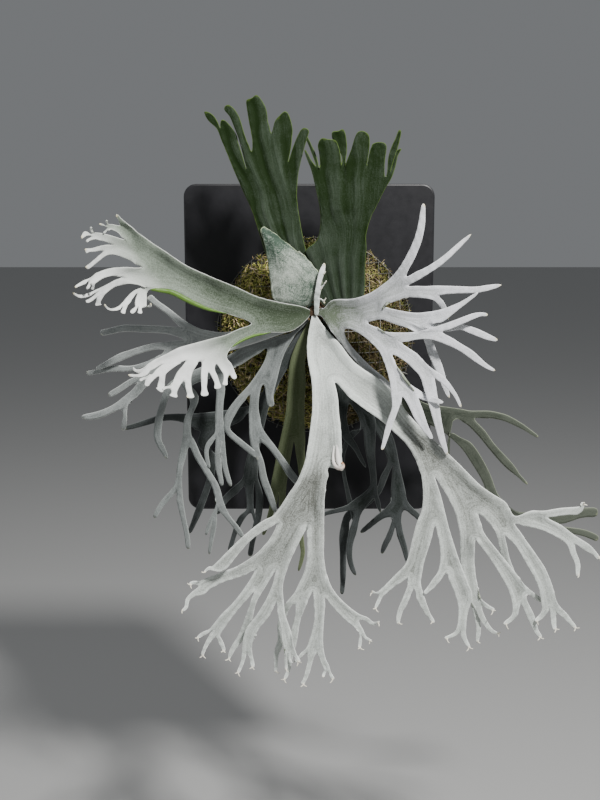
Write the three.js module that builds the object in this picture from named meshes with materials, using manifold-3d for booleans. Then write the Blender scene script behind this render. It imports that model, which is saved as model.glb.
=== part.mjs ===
// Mounted staghorn fern: a moss-packed fern on a black board that hangs on a wall.
// Millimetres, +Z up. The origin is the centre of the board's back face, which lies on the wall,
// and the fern grows out of the board along -Y. "Out" is the distance from the wall, so out = -y.
import * as THREE from 'three';
import { mergeVertices } from 'three/addons/utils/BufferGeometryUtils.js';
import Module from 'manifold-3d';

const wasm = await Module();
wasm.setup();

// ---------------------------------------------------------------- driving dimensions

const BOARD = { width: 300, height: 400, thickness: 12, corner: 15, round: 2 };
const PLATE = { width: 26, height: 58, thickness: 2, corner: 6, z: 150, pocketGap: 0.3, pocketDepth: 9 };
const KEYHOLE = { entry: 5, slot: 2.6, rise: 14, entryZ: -9 };
const SCREW = { head: 4, shank: 1.8, length: 7, headDepth: 1.6, spacing: 46, sides: 12 };
const MOUND = { x: 7, z: 18, radius: 110, rim: 6, height: 66, lump: 2, rings: 13, spokes: 40 };
const NET = { pitch: 38.1, wire: 0.6, sides: 4, lift: 1.3, step: 19, rim: 119, knot: 14 };
const STAPLE = { count: 8, width: 9, wire: 1.1, leg: 6, gap: 0.3 };
const RHIZOME = { x: 6, z: 57, radius: 10, root: 58, neck: 82, tip: 106, rings: 7, sides: 14 };
const BLADE = 1.2;
const GAP = 0.3;

// ---------------------------------------------------------------- the drawing sheet
// Every frond is drawn as it is seen from the front, on an upright sheet 100 mm out from the wall.
// A drawn point then slides along the line of sight from the eye to its own distance from the wall,
// so a frond keeps its drawn outline from that eye however far it arches out.

const EYE = { x: -11, out: 1495.5, z: 200.1 };
const SHEET_OUT = 100;
const CROWN = [5, 55];

function slide([x, z], out) {
  const t = (EYE.out - out) / (EYE.out - SHEET_OUT);
  return new THREE.Vector3(EYE.x + t * (x - EYE.x), -out, EYE.z + t * (z - EYE.z));
}

// ---------------------------------------------------------------- solids

function solidOf(geometry) {
  const bare = geometry.clone();
  for (const name of Object.keys(bare.attributes)) {
    if (name !== 'position') bare.deleteAttribute(name);
  }
  const merged = mergeVertices(bare, 1e-4);
  return new wasm.Manifold(new wasm.Mesh({
    numProp: 3,
    vertProperties: new Float32Array(merged.attributes.position.array),
    triVerts: new Uint32Array(merged.index.array),
  }));
}

function geometryOf(solid) {
  const mesh = solid.getMesh();
  const geometry = new THREE.BufferGeometry();
  const count = mesh.numProp;
  const position = new Float32Array(mesh.vertProperties.length / count * 3);
  for (let i = 0; i < position.length / 3; i++) {
    for (let axis = 0; axis < 3; axis++) position[i * 3 + axis] = mesh.vertProperties[i * count + axis];
  }
  geometry.setAttribute('position', new THREE.BufferAttribute(position, 3));
  geometry.setIndex(new THREE.BufferAttribute(new Uint32Array(mesh.triVerts), 1));
  return geometry;
}

function moved(geometry, x, y, z) {
  return geometry.clone().translate(x, y, z);
}

const group = new THREE.Group();

function addPiece(name, geometry, color, roughness, metalness = 0) {
  const piece = new THREE.Mesh(geometry, new THREE.MeshStandardMaterial({ color, roughness, metalness }));
  piece.name = name;
  group.add(piece);
  return piece;
}

// ---------------------------------------------------------------- board and hanger

function roundedRectangle(width, height, corner) {
  const shape = new THREE.Shape();
  const x = width / 2 - corner;
  const z = height / 2 - corner;
  shape.absarc(x, z, corner, 0, Math.PI / 2);
  shape.absarc(-x, z, corner, Math.PI / 2, Math.PI);
  shape.absarc(-x, -z, corner, Math.PI, 1.5 * Math.PI);
  shape.absarc(x, -z, corner, 1.5 * Math.PI, 2 * Math.PI);
  shape.closePath();
  return shape;
}

// A flat plate drawn in x and z, reaching from out = 0 to out = thickness.
function uprightPlate(shape, thickness, curveSegments, bevel = 0) {
  const geometry = new THREE.ExtrudeGeometry(shape, {
    depth: thickness - bevel,
    curveSegments,
    bevelEnabled: bevel > 0,
    bevelThickness: bevel,
    bevelSize: bevel,
    bevelOffset: -bevel,
    bevelSegments: 2,
  });
  return geometry.rotateX(Math.PI / 2);
}

function boardSolid() {
  const outline = roundedRectangle(BOARD.width, BOARD.height, BOARD.corner);
  const round = BOARD.round;
  const blank = solidOf(uprightPlate(outline, BOARD.thickness, 5, round));
  const far = BOARD.width * 2;
  const behindWall = solidOf(moved(new THREE.BoxGeometry(far, 2 * round, far), 0, round, 0));
  const gap = PLATE.pocketGap;
  const pocketOutline = roundedRectangle(PLATE.width + 2 * gap, PLATE.height + 2 * gap, PLATE.corner);
  const seat = solidOf(moved(uprightPlate(pocketOutline, PLATE.thickness + gap + 1, 4), 0, 1, PLATE.z));
  const roomOutline = roundedRectangle(PLATE.width - 10, 34, 4);
  const room = solidOf(moved(uprightPlate(roomOutline, PLATE.pocketDepth + 1, 3), 0, 1, PLATE.z));
  let board = blank.subtract(behindWall).subtract(seat).subtract(room);
  for (const side of [-1, 1]) {
    const hole = screwShape(SCREW.shank + gap, SCREW.shank + gap, SCREW.length + gap + 1);
    board = board.subtract(solidOf(moved(hole, 0, 1, PLATE.z + side * SCREW.spacing / 2)));
  }
  for (let i = 0; i < STAPLE.count; i++) {
    for (const leg of stapleLegs(i, STAPLE.gap)) board = board.subtract(leg);
  }
  return board;
}

// A countersunk screw that points out of the wall, its head flush with the board's back face.
function screwShape(head, shank, length) {
  const profile = [
    new THREE.Vector2(0, 0),
    new THREE.Vector2(head, 0),
    new THREE.Vector2(shank, SCREW.headDepth),
    new THREE.Vector2(shank, length - 1.5),
    new THREE.Vector2(0, length),
  ];
  return new THREE.LatheGeometry(profile, SCREW.sides).rotateX(Math.PI);
}

function plateSolid() {
  const shape = roundedRectangle(PLATE.width, PLATE.height, PLATE.corner);
  const top = KEYHOLE.entryZ + KEYHOLE.rise;
  const neck = Math.asin(KEYHOLE.slot / KEYHOLE.entry);
  const keyhole = new THREE.Path();
  keyhole.absarc(0, KEYHOLE.entryZ, KEYHOLE.entry, Math.PI / 2 + neck, 2.5 * Math.PI - neck);
  keyhole.absarc(0, top, KEYHOLE.slot, 0, Math.PI);
  keyhole.closePath();
  shape.holes.push(keyhole);
  let plate = solidOf(moved(uprightPlate(shape, PLATE.thickness, 5), 0, 0, PLATE.z));
  for (const side of [-1, 1]) {
    const hole = screwShape(SCREW.head + 0.3, SCREW.shank + 0.3, SCREW.length);
    plate = plate.subtract(solidOf(moved(hole, 0, 0.01, PLATE.z + side * SCREW.spacing / 2)));
  }
  return plate;
}

// ---------------------------------------------------------------- moss mound

// Lumps of moss: a few long waves over the dome, the same every time.
function mossLump(x, z) {
  const wide = Math.sin(x * 0.11 + 1.3) * Math.cos(z * 0.097 - 0.4);
  const fine = Math.sin(x * 0.23 - z * 0.17) * 0.6;
  return MOUND.lump * (wide + fine);
}

// The rim of the mound is not quite a circle.
function moundEdge(angle) {
  return MOUND.radius * (1 + 0.022 * Math.sin(angle * 5 + 1) + 0.012 * Math.sin(angle * 9));
}

// How far out the moss reaches at a place on the board.
function mossOut(x, z) {
  const angle = Math.atan2(z - MOUND.z, x - MOUND.x);
  const reach = Math.hypot(x - MOUND.x, z - MOUND.z) / moundEdge(angle);
  if (reach > 1) return BOARD.thickness;
  const dome = (MOUND.height - MOUND.rim) * Math.pow(1 - Math.pow(reach, 2.3), 0.55);
  return BOARD.thickness + MOUND.rim + dome + mossLump(x, z) * (1 - reach ** 4);
}

function moundGeometry() {
  const positions = [MOUND.x, -mossOut(MOUND.x, MOUND.z), MOUND.z];
  const index = [];
  const { rings, spokes } = MOUND;
  for (let ring = 1; ring <= rings; ring++) {
    const reach = Math.sin(ring / rings * Math.PI / 2) * 0.9999;
    for (let spoke = 0; spoke < spokes; spoke++) {
      const angle = (spoke + (ring % 2) / 2) / spokes * 2 * Math.PI;
      const x = MOUND.x + Math.cos(angle) * reach * moundEdge(angle);
      const z = MOUND.z + Math.sin(angle) * reach * moundEdge(angle);
      positions.push(x, -mossOut(x, z), z);
    }
  }
  const at = (ring, spoke) => 1 + (ring - 1) * spokes + (spoke + spokes) % spokes;
  const back = positions.length / 3;
  for (let spoke = 0; spoke < spokes; spoke++) {
    const rim = at(rings, spoke) * 3;
    positions.push(positions[rim], -BOARD.thickness, positions[rim + 2]);
  }
  const centre = positions.length / 3;
  positions.push(MOUND.x, -BOARD.thickness, MOUND.z);
  for (let spoke = 0; spoke < spokes; spoke++) {
    const next = (spoke + 1) % spokes;
    index.push(0, at(1, spoke), at(1, next));
    for (let ring = 1; ring < rings; ring++) {
      const lean = ring % 2;
      index.push(at(ring, spoke), at(ring + 1, spoke + lean), at(ring, next));
      index.push(at(ring + 1, spoke + lean - 1), at(ring + 1, spoke + lean), at(ring, spoke));
    }
    index.push(at(rings, spoke), back + spoke, back + next);
    index.push(at(rings, spoke), back + next, at(rings, next));
    index.push(centre, back + next, back + spoke);
  }
  const geometry = new THREE.BufferGeometry();
  geometry.setAttribute('position', new THREE.BufferAttribute(new Float32Array(positions), 3));
  geometry.setIndex(index);
  return geometry;
}

function mossSolid() {
  const depth = MOUND.height;
  const hole = new THREE.CylinderGeometry(RHIZOME.radius + GAP, RHIZOME.radius + GAP, depth, RHIZOME.sides);
  const out = RHIZOME.root - GAP + depth / 2;
  return solidOf(moundGeometry()).subtract(solidOf(moved(hole, RHIZOME.x, -out, RHIZOME.z)));
}

// ---------------------------------------------------------------- wire netting and staples

// One wire drawn tight over the moss, along x or along z, down to the board on both sides.
function netWire(across, alongX) {
  const reach = Math.sqrt(NET.rim ** 2 - across ** 2);
  const floor = BOARD.thickness + GAP + NET.wire;
  const points = [];
  for (let i = 0; i <= 80; i++) {
    const along = reach * Math.sin((i / 80 - 0.5) * Math.PI);
    const x = MOUND.x + (alongX ? along : across);
    const z = MOUND.z + (alongX ? across : along);
    const out = i % 80 ? mossOut(x, z) + NET.lift + NET.wire : floor;
    while (points.length > 1) {
      const [p, q] = points.slice(-2);
      const bend = (q.along - p.along) * (out - p.out) - (q.out - p.out) * (along - p.along);
      if (bend < 0) break;
      points.pop();
    }
    points.push({ along, out, at: new THREE.Vector3(x, -out, z) });
  }
  return new THREE.CatmullRomCurve3(points.map((point) => point.at), false, 'chordal');
}

function wireSection(radius, sides) {
  const shape = new THREE.Shape();
  for (let i = 0; i < sides; i++) {
    const angle = (i + 0.5) / sides * 2 * Math.PI;
    const x = radius * Math.cos(angle);
    const y = radius * Math.sin(angle);
    if (i === 0) shape.moveTo(x, y);
    else shape.lineTo(x, y);
  }
  shape.closePath();
  return shape;
}

function nettingSolid() {
  const half = Math.floor(MOUND.radius / NET.pitch);
  const section = wireSection(NET.wire, NET.sides);
  const ring = new THREE.TorusGeometry(NET.rim, NET.wire, NET.sides, 36).rotateX(Math.PI / 2);
  let net = solidOf(moved(ring, MOUND.x, -(BOARD.thickness + GAP + NET.wire), MOUND.z));
  for (const alongX of [true, false]) {
    for (let i = -half; i <= half; i++) {
      const curve = netWire(i * NET.pitch, alongX);
      const steps = Math.max(5, Math.round(curve.getLength() / NET.step));
      net = net.add(solidOf(new THREE.ExtrudeGeometry(section, { steps, extrudePath: curve })));
    }
  }
  const knot = new THREE.CylinderGeometry(NET.knot, NET.knot, 60, RHIZOME.sides);
  return net.subtract(solidOf(moved(knot, RHIZOME.x, -90, RHIZOME.z)));
}

// A box of a staple that straddles the netting's rim: "along" is away from the mound.
function stapleBox(i, along, out, size) {
  const angle = (i + 0.5) / STAPLE.count * 2 * Math.PI;
  const box = new THREE.BoxGeometry(...size).translate(NET.rim + along, -out, 0).rotateY(-angle);
  return solidOf(moved(box, MOUND.x, 0, MOUND.z));
}

function stapleLegs(i, gap) {
  const wire = STAPLE.wire + 2 * gap;
  const front = BOARD.thickness + 2 * GAP + 2 * NET.wire + STAPLE.wire / 2;
  const back = BOARD.thickness - STAPLE.leg - gap;
  const half = (STAPLE.width - STAPLE.wire) / 2;
  return [-half, half].map((along) => stapleBox(i, along, (front + back) / 2, [wire, front - back, wire]));
}

function stapleSolid(i) {
  const out = BOARD.thickness + 2 * GAP + 2 * NET.wire + STAPLE.wire / 2;
  const top = stapleBox(i, 0, out, [STAPLE.width, STAPLE.wire, STAPLE.wire]);
  return stapleLegs(i, 0).reduce((all, leg) => all.add(leg), top);
}

// ---------------------------------------------------------------- rhizome

function rhizomeGeometry() {
  const positions = [];
  const index = [];
  const { rings, sides, root, tip, radius } = RHIZOME;
  for (let ring = 0; ring <= rings; ring++) {
    const rise = ring / rings;
    const out = root + (tip - root) * rise;
    const taper = Math.sqrt(1 - Math.pow(rise, 6) * 0.6);
    const scaly = out > RHIZOME.neck ? 1 : 0;
    for (let side = 0; side < sides; side++) {
      const angle = side / sides * 2 * Math.PI;
      const scale = 1 + scaly * (0.05 * Math.sin(angle * 6 + ring * 2.1) + (ring % 2 ? 0.06 : -0.03));
      const r = radius * taper * scale;
      positions.push(RHIZOME.x + r * Math.cos(angle), -out, RHIZOME.z + r * Math.sin(angle));
    }
  }
  const at = (ring, side) => ring * sides + side % sides;
  for (let ring = 0; ring < rings; ring++) {
    for (let side = 0; side < sides; side++) {
      index.push(at(ring, side), at(ring, side + 1), at(ring + 1, side));
      index.push(at(ring, side + 1), at(ring + 1, side + 1), at(ring + 1, side));
    }
  }
  const rootCentre = positions.length / 3;
  positions.push(RHIZOME.x, -root, RHIZOME.z, RHIZOME.x, -tip - 2, RHIZOME.z);
  for (let side = 0; side < sides; side++) {
    index.push(rootCentre, at(0, side + 1), at(0, side));
    index.push(rootCentre + 1, at(rings, side), at(rings, side + 1));
  }
  const geometry = new THREE.BufferGeometry();
  geometry.setAttribute('position', new THREE.BufferAttribute(new Float32Array(positions), 3));
  geometry.setIndex(index);
  return geometry;
}

// ---------------------------------------------------------------- blades
// A frond is a tree of limbs on the sheet. A limb is a row of stations from its root to its tip.
// A station is [x, z, width] or [x, z, width, lift], or edges(...), which gives both edge points.
// Lift moves the blade out from the frond's own arch; a station without one keeps the lift before it.
// A forked limb ends at its crotches, and its limbs share the last station between those points.

const edges = (ax, az, bx, bz, lift) => ({ a: [ax, az], b: [bx, bz], lift });
const forked = (along, crotches, ...limbs) => ({ along, crotches, limbs });

const minus = (p, q) => [p[0] - q[0], p[1] - q[1]];
const cross = (p, q) => p[0] * q[1] - p[1] * q[0];
const dot = (p, q) => p[0] * q[0] + p[1] * q[1];
const mix = (p, q, t) => p.map((value, i) => value + (q[i] - value) * t);
const distance = (p, q) => Math.hypot(p[0] - q[0], p[1] - q[1]);

function centreOf(station) {
  return Array.isArray(station) ? [station[0], station[1]] : mix(station.a, station.b, 0.5);
}

// Turns stations into edge pairs, with edge a on the left of the way the limb grows.
function edgePairs(start, stations) {
  const centres = [start, ...stations].map(centreOf);
  let lift = start.lift;
  return stations.map((station, i) => {
    const before = centres[i];
    const after = centres[Math.min(i + 2, centres.length - 1)];
    const way = minus(after, before);
    const length = Math.hypot(...way) || 1;
    if (Array.isArray(station)) {
      const [x, z, width] = station;
      lift = station[3] ?? lift;
      const side = [-way[1] / length * width / 2, way[0] / length * width / 2];
      return { a: [x + side[0], z + side[1]], b: [x - side[0], z - side[1]], lift };
    }
    lift = station.lift ?? lift;
    const turned = cross(way, minus(station.a, station.b)) < 0;
    return { a: turned ? station.b : station.a, b: turned ? station.a : station.b, lift };
  });
}

const ahead = (row, next) => cross(minus(row.b, row.a), minus(next.b, row.a)) > 0.4
  && cross(minus(next.b, row.a), minus(next.a, row.a)) > 0.4;

class Blade {
  constructor({ start, rise, reach, fall = 0, cup = 0, step = 14 }) {
    Object.assign(this, { start, rise, reach, fall, cup, step, points: [], faces: [] });
  }

  arch(p) {
    const turn = Math.min(distance(p, CROWN) / this.reach, 1.6) * Math.PI / 2;
    return this.start + this.rise * Math.sin(turn) - this.fall * (1 - Math.cos(turn));
  }

  addPoint(p, lift, bulge = 0) {
    this.points.push(slide(p, this.arch(p) + lift + bulge));
    return this.points.length - 1;
  }

  // The points across one row, from edge a to edge b.
  layRow({ a, b, lift }) {
    const width = distance(a, b);
    const spans = width < 12 ? 1 : width < 36 ? 2 : 4;
    const row = [];
    for (let i = 0; i <= spans; i++) {
      const across = i / spans;
      const bulge = this.cup * width * (1 - (2 * across - 1) ** 2);
      row.push({ id: this.addPoint(mix(a, b, across), lift, bulge), across });
    }
    return row;
  }

  // The row at a fork, which passes through the crotches.
  layFork({ a, b, lift }, crotches) {
    const corners = [a, ...crotches, b];
    const total = corners.slice(1).reduce((sum, p, i) => sum + distance(p, corners[i]), 0);
    const row = [];
    let covered = 0;
    corners.forEach((corner, i) => {
      const inner = i > 0 && i < corners.length - 1;
      const width = i > 0 ? distance(corner, corners[i - 1]) : 0;
      const spans = width < 12 ? 1 : width < 36 ? 2 : 4;
      for (let k = 1; k < spans; k++) {
        const p = mix(corners[i - 1], corner, k / spans);
        const across = (covered + width * k / spans) / total;
        row.push({ id: this.addPoint(p, lift, this.cup * width * 0.6), across });
      }
      covered += width;
      row.push({ id: this.addPoint(corner, lift), across: covered / total, corner, inner });
    });
    return row;
  }

  // Joins two rows with triangles whose front side looks away from the wall.
  join(row, next) {
    let i = 0;
    let k = 0;
    while (i < row.length - 1 || k < next.length - 1) {
      const stepRow = k === next.length - 1
        || (i < row.length - 1 && row[i + 1].across <= next[k + 1].across);
      if (stepRow) {
        this.faces.push([row[i].id, row[i + 1].id, next[k].id]);
        i++;
      } else {
        this.faces.push([row[i].id, next[k + 1].id, next[k].id]);
        k++;
      }
    }
  }

  // Grows one limb, and the limbs that fork from it, on from a row that is already laid.
  grow(tree, firstRow, firstPair, phantom) {
    const { along, crotches = [], limbs = [] } = Array.isArray(tree) ? { along: tree } : tree;
    const pairs = [firstPair, ...edgePairs(firstPair, along)];
    const curves = ['a', 'b'].map((edge) => {
      const ghost = phantom[edge] ?? mix(pairs[1][edge], pairs[0][edge], 2);
      const points = [ghost, ...pairs.map((pair) => pair[edge])];
      return new THREE.CatmullRomCurve3(points.map(([x, z]) => new THREE.Vector3(x, 0, z)), false, 'centripetal');
    });
    const spans = pairs.length;
    const sample = (place) => {
      const [a, b] = curves.map((curve) => {
        const p = curve.getPoint((place + 1) / spans);
        return [p.x, p.z];
      });
      const low = Math.min(Math.floor(place), pairs.length - 2);
      const lift = pairs[low].lift + (pairs[low + 1].lift - pairs[low].lift) * (place - low);
      return { a, b, lift };
    };
    const kept = [firstPair];
    for (let i = 0; i < pairs.length - 1; i++) {
      const longest = Math.max(distance(pairs[i].a, pairs[i + 1].a), distance(pairs[i].b, pairs[i + 1].b));
      const steps = Math.max(1, Math.round(longest / this.step));
      for (let k = 1; k <= steps; k++) {
        const next = sample(i + k / steps);
        const last = i === pairs.length - 2 && k === steps;
        while (kept.length > 1 && last && !ahead(kept.at(-1), next)) kept.pop();
        if (last || ahead(kept.at(-1), next)) kept.push(next);
      }
    }
    let row = firstRow;
    kept.slice(1).forEach((pair, i) => {
      const forks = limbs.length > 0 && i === kept.length - 2;
      const next = forks ? this.layFork(pair, this.sortAcross(pair, crotches, (p) => p)) : this.layRow(pair);
      this.join(row, next);
      row = next;
    });
    if (!limbs.length) return;
    const lastPair = kept.at(-1);
    const before = kept.at(-2);
    const corners = row.filter((point) => point.corner);
    const ordered = this.sortAcross(lastPair, limbs, (limb) => centreOf((Array.isArray(limb) ? limb : limb.along)[0]));
    ordered.forEach((limb, i) => {
      const from = row.indexOf(corners[i]);
      const to = row.indexOf(corners[i + 1]);
      const share = row.slice(from, to + 1);
      const low = share[0].across;
      const size = share.at(-1).across - low;
      const shareRow = share.map((point) => ({ id: point.id, across: (point.across - low) / size }));
      const pair = { a: corners[i].corner, b: corners[i + 1].corner, lift: lastPair.lift };
      const ghosts = { a: i === 0 ? before.a : undefined, b: i === ordered.length - 1 ? before.b : undefined };
      this.grow(limb, shareRow, pair, ghosts);
    });
  }

  sortAcross({ a, b }, items, placeOf) {
    const across = minus(b, a);
    const keyed = items.map((item) => [dot(minus(placeOf(item), a), across), item]);
    return keyed.sort((p, q) => p[0] - q[0]).map((pair) => pair[1]);
  }

  growFrom(tree) {
    const [root, ...rest] = tree.along;
    const pair = edgePairs({ ...root, lift: 0 }, [root, ...rest])[0];
    this.grow({ ...tree, along: rest }, this.layRow(pair), pair, {});
    return this;
  }

  // Gives the surface its thickness and closes its edges.
  geometry(thickness = BLADE) {
    const count = this.points.length;
    const normals = this.points.map(() => new THREE.Vector3());
    const open = new Map();
    for (const face of this.faces) {
      const [p, q, r] = face.map((id) => this.points[id]);
      const normal = q.clone().sub(p).cross(r.clone().sub(p));
      face.forEach((id, i) => {
        normals[id].add(normal);
        const next = face[(i + 1) % 3];
        if (!open.delete(`${next},${id}`)) open.set(`${id},${next}`, [id, next]);
      });
    }
    const positions = new Float32Array(count * 6);
    this.points.forEach((point, i) => {
      const half = normals[i].normalize().multiplyScalar(thickness / 2);
      point.clone().add(half).toArray(positions, i * 3);
      point.clone().sub(half).toArray(positions, (i + count) * 3);
    });
    const index = [];
    for (const [p, q, r] of this.faces) index.push(p, q, r, r + count, q + count, p + count);
    for (const [p, q] of open.values()) index.push(q, p, p + count, q, p + count, q + count);
    const geometry = new THREE.BufferGeometry();
    geometry.setAttribute('position', new THREE.BufferAttribute(positions, 3));
    geometry.setIndex(index);
    return geometry;
  }
}

// ---------------------------------------------------------------- shield fronds

const SHIELD_LEFT = forked(
  [edges(-6, 62, 6, 66), edges(-28, 84, 2, 88), edges(-46, 112, -1, 112), edges(-56, 142, -7, 138),
    edges(-64, 168, -12, 166), edges(-75, 192, -14.5, 188), edges(-85, 215, -13, 211)],
  [[-71, 217], [-65, 236], [-24, 225]],
  forked([edges(-95, 240, -77.5, 238), edges(-104, 261, -83, 256)], [[-100, 262]],
    [[-109, 271, 8], [-116, 278, 3]],
    [[-94, 263, 13], [-97, 268, 6]]),
  [edges(-79.5, 250, -70.5, 248, 2), edges(-84.5, 263, -75, 262), edges(-90, 275, -80, 276), [-92.5, 284, 7]],
  forked([edges(-64, 246, -21, 240)], [[-43, 256]],
    [edges(-68, 270, -47, 270), edges(-70, 283, -49, 283), [-64, 294, 13]],
    [edges(-38, 270, -19.5, 262), edges(-35.5, 276, -20, 271), [-29, 277, 8]]),
  [edges(-17, 245, -7.5, 235), edges(-12, 256, -3, 250), [-4, 260, 6]]);

const SHIELD_RIGHT = forked(
  [edges(9, 66, 26, 58), edges(8, 80, 60, 68), edges(6, 94, 63, 86), edges(2, 108, 63, 106),
    edges(-5, 123, 64, 126), edges(9, 140, 64, 145), edges(12, 157, 68, 160), edges(10, 180, 78, 181),
    edges(6, 198, 86, 197)],
  [[11.5, 220], [35.5, 220.5], [39, 220], [64, 221], [84, 209]],
  forked([edges(2, 214, 10, 219)], [[6.5, 220]],
    [[-0.5, 226, 4], [-5, 236, 2]],
    [[5.5, 230, 4, -5], [0, 243, 3.5, -9], [-5, 254, 2]]),
  [edges(10, 235, 34.5, 230), edges(9, 243, 32, 241), edges(13, 250, 28, 248)],
  [[38, 232, 6, -6], [34, 246, 14, -9], [31, 258, 13, -9]],
  [edges(43, 230, 66, 236), edges(47.5, 242, 66.5, 246), [59, 256, 11]],
  [edges(67, 236, 84, 226), edges(69, 241, 85.5, 238), [77, 245, 11]],
  forked([edges(86.5, 214, 92, 208)], [[90, 214]],
    [[90.5, 226, 6.5], [94.5, 240, 7], [98, 250, 5], [100, 258, 3]],
    [[94, 222, 5, -3], [96, 232, 5], [101, 238, 2]]));

const SHIELD_YOUNG = {
  along: [edges(-8, 58, 2, 61), edges(-28, 62, 8, 68), edges(-41, 70, 12, 78), edges(-44, 84, 14, 88),
    edges(-46, 100, 12, 98), edges(-48, 118, 3, 110), edges(-51, 132, -7, 121), edges(-55, 145, -26, 132),
    [-52, 148, 9]],
};

const BUD = forked(
  [edges(6, 53.5, 9.5, 53), [8, 62, 5.5], edges(5, 71, 12.3, 71)], [[11.2, 72.5]],
  forked([[9, 78, 6.5, 1], edges(6.8, 84, 13.3, 84)], [[12.3, 85.5]],
    [[11, 92, 5.5, 1], [13.5, 101, 6, 1], [15.5, 107, 4.5, 0], [16.5, 111, 2, 0]],
    [[15.5, 86.5, 1.5, 2], [17.5, 88.5, 1.2, 3]]),
  [[14.5, 70, 1.5, 1], [17, 66.5, 1.2, 2]]);

// ---------------------------------------------------------------- left fronds

const LEFT_TIPS_UP = forked(
  [edges(-195, 147, -203, 114)], [[-214.5, 154], [-209.5, 139]],
  [[-214, 161, 4, 4], [-217.5, 166, 2.5, 8]],
  forked([edges(-222, 155, -218, 147.5, 4), edges(-227, 156, -227, 149.5, 6)], [[-229, 154], [-229, 151.5]],
    [[-229, 159, 2.5, 9]], [[-236, 155.5, 2, 10]], [[-232, 146, 2.2, 8]]),
  forked([edges(-218, 140.5, -219, 120.7, 2)], [[-224, 132.5]],
    forked([edges(-234, 145, -234, 137, 7), edges(-245, 147, -245, 139.5, 12)], [[-247, 145], [-247, 141.5]],
      [[-247, 151, 3, 16]], [[-253, 145, 4.5, 18], [-257, 140, 2, 20]], [[-251.5, 136.5, 3, 16]]),
    forked([edges(-231, 132, -230, 120.5, 5)], [[-234.5, 125]],
      [[-243, 127, 4.5, 9], [-250, 126, 4, 12], [-253.5, 125, 4.5, 13]],
      [[-240, 116, 4.6, 7], [-248, 109.5, 4.4, 8], [-252.5, 106, 3.4, 8]])));

const LEFT_LIMB_MIDDLE = forked(
  [edges(-202, 106.8, -200, 88, 3)], [[-214, 95.5]],
  forked([edges(-225, 106, -225, 97, 9), edges(-238, 102, -236, 94, 15), edges(-248, 96, -244, 89, 19)],
    [[-252, 90], [-249, 88]],
    forked([[-256, 90, 4.5, 22]], [],
      [[-263, 86.5, 3, 26], [-266.5, 84, 2, 28]]),
    [[-251.5, 85, 3, 21], [-253.5, 82.5, 2, 21]],
    [[-246.5, 84.5, 3, 18], [-247.5, 82, 2.5, 17]]),
  forked([edges(-224, 91, -223, 84, 4), edges(-237, 84.5, -233, 76, 5)], [[-243.5, 78], [-243, 72]],
    [[-250, 76.5, 4, 9], [-258, 74, 3.8, 14], [-265, 75, 3, 18], [-269, 78.5, 1.8, 21]],
    [[-249, 70, 4, 6], [-254.5, 68, 3, 8]],
    [[-241, 67, 5.5, 4], [-240.5, 63.8, 6.5, 4]]));

const LEFT_CURL_LOW = forked(
  [edges(-190, 83.8, -184.5, 79, -2), edges(-198, 81.2, -185.5, 74, 2)], [[-196.5, 77]],
  forked([edges(-206, 75.5, -202, 71, 6), edges(-213, 67, -208, 63, 12)], [[-214, 61]],
    forked([[-218, 60.5, 4, 16]], [],
      [[-226, 58.7, 2.8, 22], [-231, 61, 2.4, 26], [-233.5, 65, 1.8, 28]]),
    [[-212.5, 57, 5, 15], [-213.5, 54.5, 4, 16]]),
  forked([edges(-199, 68, -186, 66, 8), edges(-199, 62.5, -185, 62, 12)], [[-195.5, 62.3], [-190, 61]],
    [[-200.5, 58, 4.5, 15], [-204, 55.5, 3, 17]],
    [[-193.5, 57.5, 4.5, 15], [-194, 54.5, 4, 17]],
    [[-185.5, 60, 3, 15], [-182, 62.5, 2.2, 17], [-181, 66, 1.6, 18]]));

const LEFT_UPPER = forked(
  [edges(-80, 82.5, -80, 49.5), edges(-100, 91, -98, 55.5), edges(-120, 99.5, -117, 61.5),
    edges(-140, 109, -137, 71), edges(-158, 121, -157, 81), edges(-177, 133.5, -179, 83)],
  [[-190, 106], [-185.5, 84.5]],
  LEFT_TIPS_UP, LEFT_LIMB_MIDDLE, LEFT_CURL_LOW);

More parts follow.
